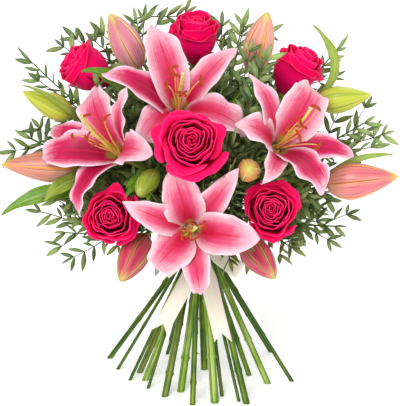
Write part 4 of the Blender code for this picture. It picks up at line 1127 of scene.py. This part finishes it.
SHOWN = {  # the leafy part, against the model's length
    "left_lower": 0.84, "front_low": 0.86, "right_lower": 0.84, "right": 0.92, "left": 0.92, "top": 0.90,
    "top_left": 0.93, "top_right": 0.95, "back_left": 0.86, "back_right": 0.86,
}
spray_lines, twigs = {}, {}
for key, plan in SPRAYS.items():
    tip = at(plan["tip"])
    away = unit(tip - UP * TIE_HEIGHT)
    low, high = stem_line("spray_" + key, plan["foot"], tip, away, plan["via"])
    spray_lines[key] = (low, high)
    outer = high[12:int(len(high) * SHOWN.get(key, 1.0))]
    twigs[key] = side_twigs(outer, 0.05, TWIG_LENGTH) + [(outer, 1.0 * MM, leaf_face(tip, away), 0.45)]
for number in range(FILLERS):
    high_up = (number + 0.5) / FILLERS * 1.35 - 0.35
    a = GOLDEN_ANGLE * number
    direction = np.array((math.cos(a) * math.sqrt(1 - high_up**2), math.sin(a) * math.sqrt(1 - high_up**2), high_up))
    target = DOME_CENTRE + direction * DOME_SIZE * rng.uniform(0.55, 0.95)
    key = max(SPRAYS, key=lambda k: unit(at(SPRAYS[k]["tip"]) - DOME_CENTRE) @ unit(target - DOME_CENTRE))
    start, heading = along(spray_lines[key][1], rng.uniform(0.04, 0.3))
    low_down = target[2] < 215 * MM and target[1] < 50 * MM
    if low_down and number % 2:  # the photograph's greenery is airy low down at the front
        continue
    span = np.linalg.norm(target - start)
    line = curve(start, heading * span * 0.8, target, unit(target - DOME_CENTRE) * span * 0.7, 22)
    line = free_part(line, 3 * MM, 3, "filler")
    if len(line) > 7:
        twigs[key] += side_twigs(line, 0.3, 34 * MM) + [(line, 1.2 * MM, leaf_face(line[-1], heading), 0.5)]
EDGE_TWIGS = {  # slim twigs that stand out past the flowers: the spray that each one leaves, and its tip
    "left_upper": [(-172, -8, 334)],
    "top_left": [(-148, 36, 362), (-134, 38, 370), (-113, 24, 370), (-104, 28, 376), (-68, 34, 388), (-47, 40, 386),
                 (-16, 54, 396)],
    "top": [(24, 48, 382), (48, 46, 382), (2, 56, 398)],
    "top_right": [(98, 34, 382), (114, 32, 386), (128, 26, 372), (84, 26, 356)],
    "front_centre": [(52, -40, 372), (68, -44, 364), (60, -44, 350)],
    "left_lower": [(-170, -50, 200), (-152, -52, 214)],
    "right": [(196, -14, 276), (184, -14, 262)],
    "back_left": [(-50, 158, 266), (-10, 164, 290), (-114, 136, 262), (-118, 120, 300)],
    "back_right": [(26, 162, 272), (62, 156, 256), (122, 132, 276), (4, 152, 318)],
}
for key, tips in EDGE_TWIGS.items():
    for number, tip in enumerate(tips):
        start, heading = along(spray_lines[key][1], 0.5 + 0.08 * number)
        span = np.linalg.norm(at(tip) - start)
        away = unit(unit(at(tip) - start) + 0.5 * unit(at(tip) - DOME_CENTRE))
        line = free_part(curve(start, heading * span, at(tip), away * span * 0.8, 20), 3.5 * MM, 5, "edge")
        if len(line) > 8:
            twigs[key].append((line, 0.9 * MM, leaf_face(line[-1], away), 0.35))
print("Twigs:", sum(len(t) for t in twigs.values()))

# %% [markdown]
# ## Leaflets with Geometry Nodes
# The tree takes the twigs as edges. It turns them to curves, gives them a round section for bark, and sets leaflets on
# points spaced along each one: a pair at every point, turned to both sides, and one at the end. A leaflet is left out
# where it would touch a flower. Its size, angle and shade are random with a fixed seed.

# %% Leaflet
LEAFLET_LENGTH, LEAFLET_WIDTH, LEAFLET_SPACING = 21 * MM, 5.6 * MM, 10.5 * MM
leaflet = Shape()
leaflet.sheet(lambda u, v: (
    (2 * u - 1) * LEAFLET_WIDTH / 2 * through([(0, 0.05), (0.3, 0.85), (0.5, 1.0), (0.75, 0.7), (1, 0.03)], v),
    LEAFLET_LENGTH * v, (abs(2 * u - 1) * 0.9 - 2.2 * v * v + 0.9 * v) * MM), 5, 2)

# %% Leafy twigs
leafy_tree, leafy_in = group("leafy twigs", Leaflet="Object", Flowers="Object", Bark="Material", Leaf="Material",
                             Spacing="Float", Reach="Float", Clearance="Float", Seed="Int")


def named(name, kind="FLOAT"):
    return add(leafy_tree, "GeometryNodeInputNamedAttribute", {"Name": name}, data_type=kind)


def vector(operation, a, b):
    return add(leafy_tree, "ShaderNodeVectorMath", {0: a, 1: b}, operation=operation)


def scaled(a, factor):
    return add(leafy_tree, "ShaderNodeVectorMath", {0: a, "Scale": factor}, operation="SCALE")


def chance(low, high, salt, kind="FLOAT"):
    seed = add(leafy_tree, "ShaderNodeMath", {0: leafy_in["Seed"], 1: float(salt)}, operation="ADD")
    return add(leafy_tree, "FunctionNodeRandomValue", {"Min": low, "Max": high, "Seed": seed}, data_type=kind)


twig_curves = add(leafy_tree, "GeometryNodeMeshToCurve", {0: leafy_in["Geometry"]})
section = add(leafy_tree, "GeometryNodeCurvePrimitiveCircle", {"Resolution": 5, "Radius": 1.0})
bark = add(leafy_tree, "GeometryNodeCurveToMesh", {"Curve": twig_curves, "Profile Curve": section,
                                                   "Scale": named("thickness"), "Fill Caps": True})
bark = add(leafy_tree, "GeometryNodeSetMaterial", {"Geometry": bark, "Material": leafy_in["Bark"]})
spots = add(leafy_tree, "GeometryNodeCurveToPoints", {"Curve": twig_curves, "Length": leafy_in["Spacing"]}, mode="LENGTH")
blade_source = add(leafy_tree, "GeometryNodeObjectInfo", {"Object": leafy_in["Leaflet"]}).node.outputs["Geometry"]
flowers_in = add(leafy_tree, "GeometryNodeObjectInfo", {"Object": leafy_in["Flowers"]}).node.outputs["Geometry"]


def leaflets(points, tangent, hand, allowed, salt):
    """Leaflets on points: hand is 1 or -1 for the two sides of a twig, and 0 for its end."""
    face = vector("ADD", named("face", "FLOAT_VECTOR"), chance((-0.45,) * 3, (0.45,) * 3, salt, "FLOAT_VECTOR"))
    aside = scaled(vector("CROSS_PRODUCT", named("face", "FLOAT_VECTOR"), tangent), float(hand))
    direction = vector("ADD", scaled(tangent, chance(0.55, 1.0, salt + 1)), scaled(aside, chance(0.6, 1.0, salt + 2)))
    direction = add(leafy_tree, "ShaderNodeVectorMath", {0: direction}, operation="NORMALIZE")
    size = chance(0.62, 1.15, salt + 3)
    middle = vector("ADD", add(leafy_tree, "GeometryNodeInputPosition"), scaled(direction, leafy_in["Reach"]))
    distance = add(leafy_tree, "GeometryNodeProximity", {"Geometry": flowers_in, "Sample Position": middle},
                   target_element="FACES").node.outputs["Distance"]
    clear = add(leafy_tree, "FunctionNodeCompare", {"A": distance, "B": leafy_in["Clearance"]},
                operation="GREATER_THAN")
    kept = add(leafy_tree, "FunctionNodeCompare", {"A": chance(0.0, 1.0, salt + 5), "B": 0.2 if hand else 0.0},
               operation="GREATER_THAN")
    wanted = add(leafy_tree, "FunctionNodeBooleanMath", {0: clear, 1: allowed}, operation="AND")
    wanted = add(leafy_tree, "FunctionNodeBooleanMath", {0: wanted, 1: kept}, operation="AND")
    turned_to = add(leafy_tree, "FunctionNodeAxesToRotation", {"Primary Axis": direction, "Secondary Axis": face},
                    primary_axis="Y", secondary_axis="Z")
    placed = add(leafy_tree, "GeometryNodeInstanceOnPoints", {"Points": points, "Selection": wanted,
                                                              "Instance": blade_source, "Rotation": turned_to,
                                                              "Scale": size})
    return add(leafy_tree, "GeometryNodeStoreNamedAttribute", {
        "Geometry": placed, "Name": "shade", "Value": chance(0.0, 1.0, salt + 4)}, domain="INSTANCE")


on_twig = add(leafy_tree, "FunctionNodeCompare", {"A": named("leafy"), "B": 0.5}, operation="GREATER_THAN")
at_end = add(leafy_tree, "GeometryNodeCurveEndpointSelection", {"Start Size": 0, "End Size": 1})
joined = add(leafy_tree, "GeometryNodeJoinGeometry")
for source, tangent, hand, allowed, salt in (
        (spots, spots.node.outputs["Tangent"], 1, on_twig, 10), (spots, spots.node.outputs["Tangent"], -1, on_twig, 20),
        (twig_curves, add(leafy_tree, "GeometryNodeInputTangent"), 0, at_end, 30)):
    leafy_tree.links.new(leaflets(source, tangent, hand, allowed, salt), joined.node.inputs[0])
real = add(leafy_tree, "GeometryNodeRealizeInstances", {"Geometry": joined})
leaves = add(leafy_tree, "GeometryNodeSetMaterial", {"Geometry": real, "Material": leafy_in["Leaf"]})
both = add(leafy_tree, "GeometryNodeJoinGeometry")
for part in (leaves, bark):
    leafy_tree.links.new(part, both.node.inputs[0])
add(leafy_tree, "NodeGroupOutput", {0: both})


# %% Sprays
def twig_edges(name, parts):
    """The twigs as one mesh of edges that carries their thickness, the way their leaflets face and where they grow."""
    points, edges, thickness, face, leafy = [], [], [], [], []
    for line, radius, look, bare in parts:
        count, share = len(line), np.linspace(0, 1, len(line))
        edges += [(len(points) + n, len(points) + n + 1) for n in range(count - 1)]
        points += line.tolist()
        thickness += (radius * (1 - 0.55 * share)).tolist()
        face += [look] * count
        leafy += (share > bare).astype(float).tolist()
    mesh = bpy.data.meshes.new(name)
    mesh.from_pydata(points, edges, [])
    mesh.attributes.new("thickness", "FLOAT", "POINT").data.foreach_set("value", thickness)
    mesh.attributes.new("leafy", "FLOAT", "POINT").data.foreach_set("value", leafy)
    mesh.attributes.new("face", "FLOAT_VECTOR", "POINT").data.foreach_set("vector", np.array(face).ravel())
    return bpy.data.objects.new(name, mesh)


flower_mesh = bpy.data.meshes.new("flowers")
flower_mesh.from_pydata(flower_points, [], flower_faces)
flower_guide = bpy.data.objects.new("flowers", flower_mesh)
blade_guide = guide("leaflet", leaflet)
leaf_total = 0
for number, key in enumerate(SPRAYS):
    made = run(leafy_tree, twig_edges("twigs", twigs[key]), key + "_spray_leaves", Leaflet=blade_guide,
               Flowers=flower_guide, Bark=twig_brown, Leaf=spray_leaf, Spacing=LEAFLET_SPACING,
               Reach=LEAFLET_LENGTH * 0.6, Clearance=3 * MM, Seed=number)
    dress(made, [])
    shell = made.modifiers.new("wall", "SOLIDIFY")
    shell.thickness, shell.offset = 0.3 * MM, 0
    leaf_total += len(made.data.polygons)
    low, high = spray_lines[key]
    line = resampled(np.concatenate((low, high[:int(len(high) * SHOWN.get(key, 1.0))])), 4 * MM)
    radius = SPRAYS[key]["stem"] * MM / 2
    shape = Shape()
    shape.tube(line, with_nodes(line, radius, [60 * MM, 118 * MM], 0.6), 10, 0, cut=1)
    piece(key + "_spray_stem", shape, [spray_green, pith], ["spray_" + key])
for spare in (flower_guide, blade_guide):
    bpy.data.objects.remove(spare, do_unlink=True)
print("Faces on leaflets and twigs:", leaf_total)

# %% [markdown]
# ## Ribbon
# The bow is satin ribbon, 19 mm wide: a wrap round the binding, a knot, two loops and two tails with swallow cuts.
# Satin floats its threads on one side, so it shines softly across them. The ribbon is cloth, and each part of it is a
# thin sheet with a 0.5 mm wall.


# %% Satin
def satin_finish(name, colour, shade):
    made, tree, shader = finish(name, 0.38, Sheen_Weight=0.3, Sheen_Roughness=0.4, Anisotropic=0.5)
    threads = streaks(tree, 90, 1.0, 2.0)
    tree.links.new(blend_of(tree, step_of(tree, threads, 0.3, 0.7), colour, shade), shader.inputs["Base Color"])
    raise_by(tree, shader, threads, 0.06)
    return made


satin = satin_finish("cream satin ribbon", "#F6EEDE", "#EBE1CE")
RIBBON, RIBBON_WALL = 19 * MM, 0.5 * MM


def ribbon_piece(name, shape, node):
    made = piece(name, shape, [satin], [node], RIBBON_WALL)
    return made


def band(line, half_width, across=8, rows=60, cup=0.0, cut=0.0, ripple=0.0):
    """A ribbon along a line: half_width(share) is the vector to its edge, and cut is the depth of its swallow cut."""
    gone = lengths(line) / lengths(line)[-1]
    total = lengths(line)[-1]

    def surface(u, v):
        side = 2 * u - 1
        share = v * (1 - (cut / total) * (1 - abs(side)) if cut else 1)
        centre = np.stack([np.interp(share, gone, line[:, k]) for k in range(3)], -1)
        half = half_width(share)
        heading = np.stack([np.interp(share, gone, np.gradient(line[:, k])) for k in range(3)], -1)
        normal = np.cross(heading, half)
        normal /= np.linalg.norm(normal, axis=-1)[..., None]
        lift = cup * (1 - side**2) + ripple * np.sin(5.5 * share + 2 * side) * smooth(share, 0.1, 0.5)
        points = centre + half * side[..., None] + normal * lift[..., None]
        return np.moveaxis(points, -1, 0)

    shape = Shape()
    shape.sheet(surface, rows, across)
    return shape


# %% Wrap and knot
wrap = np.array([v.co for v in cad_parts["ribbon_wrap"].data.vertices])
angles, reach = np.arctan2(wrap[:, 1], wrap[:, 0]), np.hypot(wrap[:, 0], wrap[:, 1])
outside = np.array([reach[abs(np.angle(np.exp(1j * (angles - a)))) < 0.13].max()
                    for a in np.linspace(-math.pi, math.pi, 49)[:-1]])
outside = (outside + np.roll(outside, 1) + np.roll(outside, -1)) / 3


def wrap_surface(u, v):
    turn = -2 * math.pi * v
    radius = np.interp((turn + math.pi) % (2 * math.pi) / (2 * math.pi) * 48, np.arange(49), np.append(outside, outside[0]))
    radius = radius - 0.4 * MM + 0.35 * MM * np.sin(math.pi * u * 6 + 2 * turn)
    return radius * np.cos(turn), radius * np.sin(turn), TIE_HEIGHT + (u - 0.5) * RIBBON


shape = Shape()
shape.sheet(wrap_surface, 96, 12)
ribbon_piece("ribbon_band", shape, "ribbon_wrap")
knot_low, knot_high = (np.array(corner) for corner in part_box("ribbon_knot"))
knot, knot_half = (knot_low + knot_high) / 2, (knot_high - knot_low) / 2


def knot_surface(u, v):
    turn, side = 2 * math.pi * v, 2 * u - 1
    pleat = 0.8 * MM * np.sin(side * 10) * (1 - side**4)
    pinch = 1 - 0.10 * (1 - side**2)
    return (knot[0] + side * knot_half[0] * 1.04 + 0 * turn,
            knot[1] + np.cos(turn) * (knot_half[1] - 0.6 * MM + pleat) * pinch,
            knot[2] + np.sin(turn) * (knot_half[2] - 0.8 * MM + pleat) * pinch)


shape = Shape()
shape.sheet(knot_surface, 40, 12)
ribbon_piece("ribbon_knot_band", shape, "ribbon_knot")

# %% Loops and tails
LOOP_ENDS = {"left": (-40, -46, 131), "right": (44, -46, 131)}
LOOP_SHAPE = [(0, 1.2), (0.3, 5), (0.65, 7), (0.92, 5), (1, 0), (0.92, -4.5), (0.65, -5.5), (0.3, -4), (0.04, -1.2)]
TAILS = {"left": ((-44, -76, 72), (8.4, -1.0, -3.0)), "right": ((25, -88, 66), (9.5, -0.1, 0.0))}
over = unit(np.array((0, -1, 0.35)))
for side, hand in (("left", -1), ("right", 1)):
    start = knot + np.array((hand * (knot_half[0] + 0.6 * MM), -0.5 * MM, 0))
    reach = at(LOOP_ENDS[side]) - start
    knots = np.array([start + reach * share + over * rise * MM for share, rise in LOOP_SHAPE])
    marks = np.linspace(0, len(knots) - 1, 70)
    line = np.stack([through(list(enumerate(knots[:, k])), marks) for k in range(3)], -1)
    wide = unit(np.cross(reach, over)) * RIBBON / 2
    made = band(line, lambda share: wide * (0.45 + 0.55 * smooth(np.minimum(share, 1 - share), 0, 0.2))[..., None],
                ripple=0.4 * MM)
    ribbon_piece("ribbon_bow_loop_" + side, made, "ribbon_loop_" + side)
    start = knot + np.array((hand * 5 * MM, -MM, -knot_half[2] - 2 * MM))
    tip, half = at(TAILS[side][0]), at(TAILS[side][1])
    line = curve(start, at((hand * 4, -40, -46)), tip, (tip - start) * 0.9, 60)
    made = band(line, lambda share: half * (0.5 + 0.5 * smooth(share, 0, 0.3))[..., None], cut=11 * MM,
                ripple=1.1 * MM, rows=50)
    ribbon_piece("ribbon_bow_tail_" + side, made, "ribbon_tail_" + side)
print("The bow is tied")

# %% [markdown]
# ## Twine
# Under the ribbon the stems are bound with jute twine. Only its place in the model matters, because the ribbon covers it.

# %% Twine
jute = plain_finish("jute twine", "#A98D62", "#8C7048", 1.5, 0.9, 0.3)
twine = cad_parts["binding_twine"]
twine.data.materials.clear()
twine.data.materials.append(jute)

# %% [markdown]
# ## Floor and light
# The studio is white: a pale floor that runs out of the picture, a bright even surround, and one large soft light from
# the upper left with a weaker one from the right, so that the petals keep their modelling.

# %% Floor and light
floor_mesh = bpy.data.meshes.new("floor")
floor_mesh.from_pydata([(-30, -30, 0), (30, -30, 0), (30, 30, 0), (-30, 30, 0)], [], [(0, 1, 2, 3)])
floor = bpy.data.objects.new("floor", floor_mesh)
floor_finish, floor_nodes, floor_shader = finish("pale studio floor", 0.9, Specular_IOR_Level=0.1)
floor_shader.inputs["Base Color"].default_value = srgb("#FAFAFA")
floor_shader.inputs["Emission Color"].default_value = srgb("#FFFFFF")
floor_shader.inputs["Emission Strength"].default_value = 0.22
floor_mesh.materials.append(floor_finish)
scene.collection.objects.link(floor)
floor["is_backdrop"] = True

surround = bpy.data.worlds.new("white studio")
surround.use_nodes = True
surround.node_tree.nodes["Background"].inputs["Color"].default_value = (1, 1, 1, 1)
surround.node_tree.nodes["Background"].inputs["Strength"].default_value = 0.68
scene.world = surround
LIGHTS = {  # kind, place, size or spread, and power
    "key light": ("SUN", (-0.8, -2.0, 1.7), math.radians(36), 1.95),
    "fill light": ("AREA", (1.4, -1.1, 0.9), 1.2, 6),
    "back light": ("SUN", (0.9, 1.8, 1.6), math.radians(50), 0.9),
}
for name, (kind, place, spread, power) in LIGHTS.items():
    light = bpy.data.lights.new(name, kind)
    light.energy = power
    setattr(light, "angle" if kind == "SUN" else "size", spread)
    lamp = bpy.data.objects.new(name, light)
    lamp.location = place
    lamp.rotation_euler = (Vector((0, 0, 0.25)) - Vector(place)).to_track_quat("-Z", "Y").to_euler()
    scene.collection.objects.link(lamp)
scene.view_settings.view_transform = "Standard"

# %% Sizes
shown_low, shown_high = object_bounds()
for name, low, high in (("model", cad_low, cad_high), ("shown", shown_low, shown_high)):
    print(name, [round(v / MM, 1) for v in low], [round(v / MM, 1) for v in high])
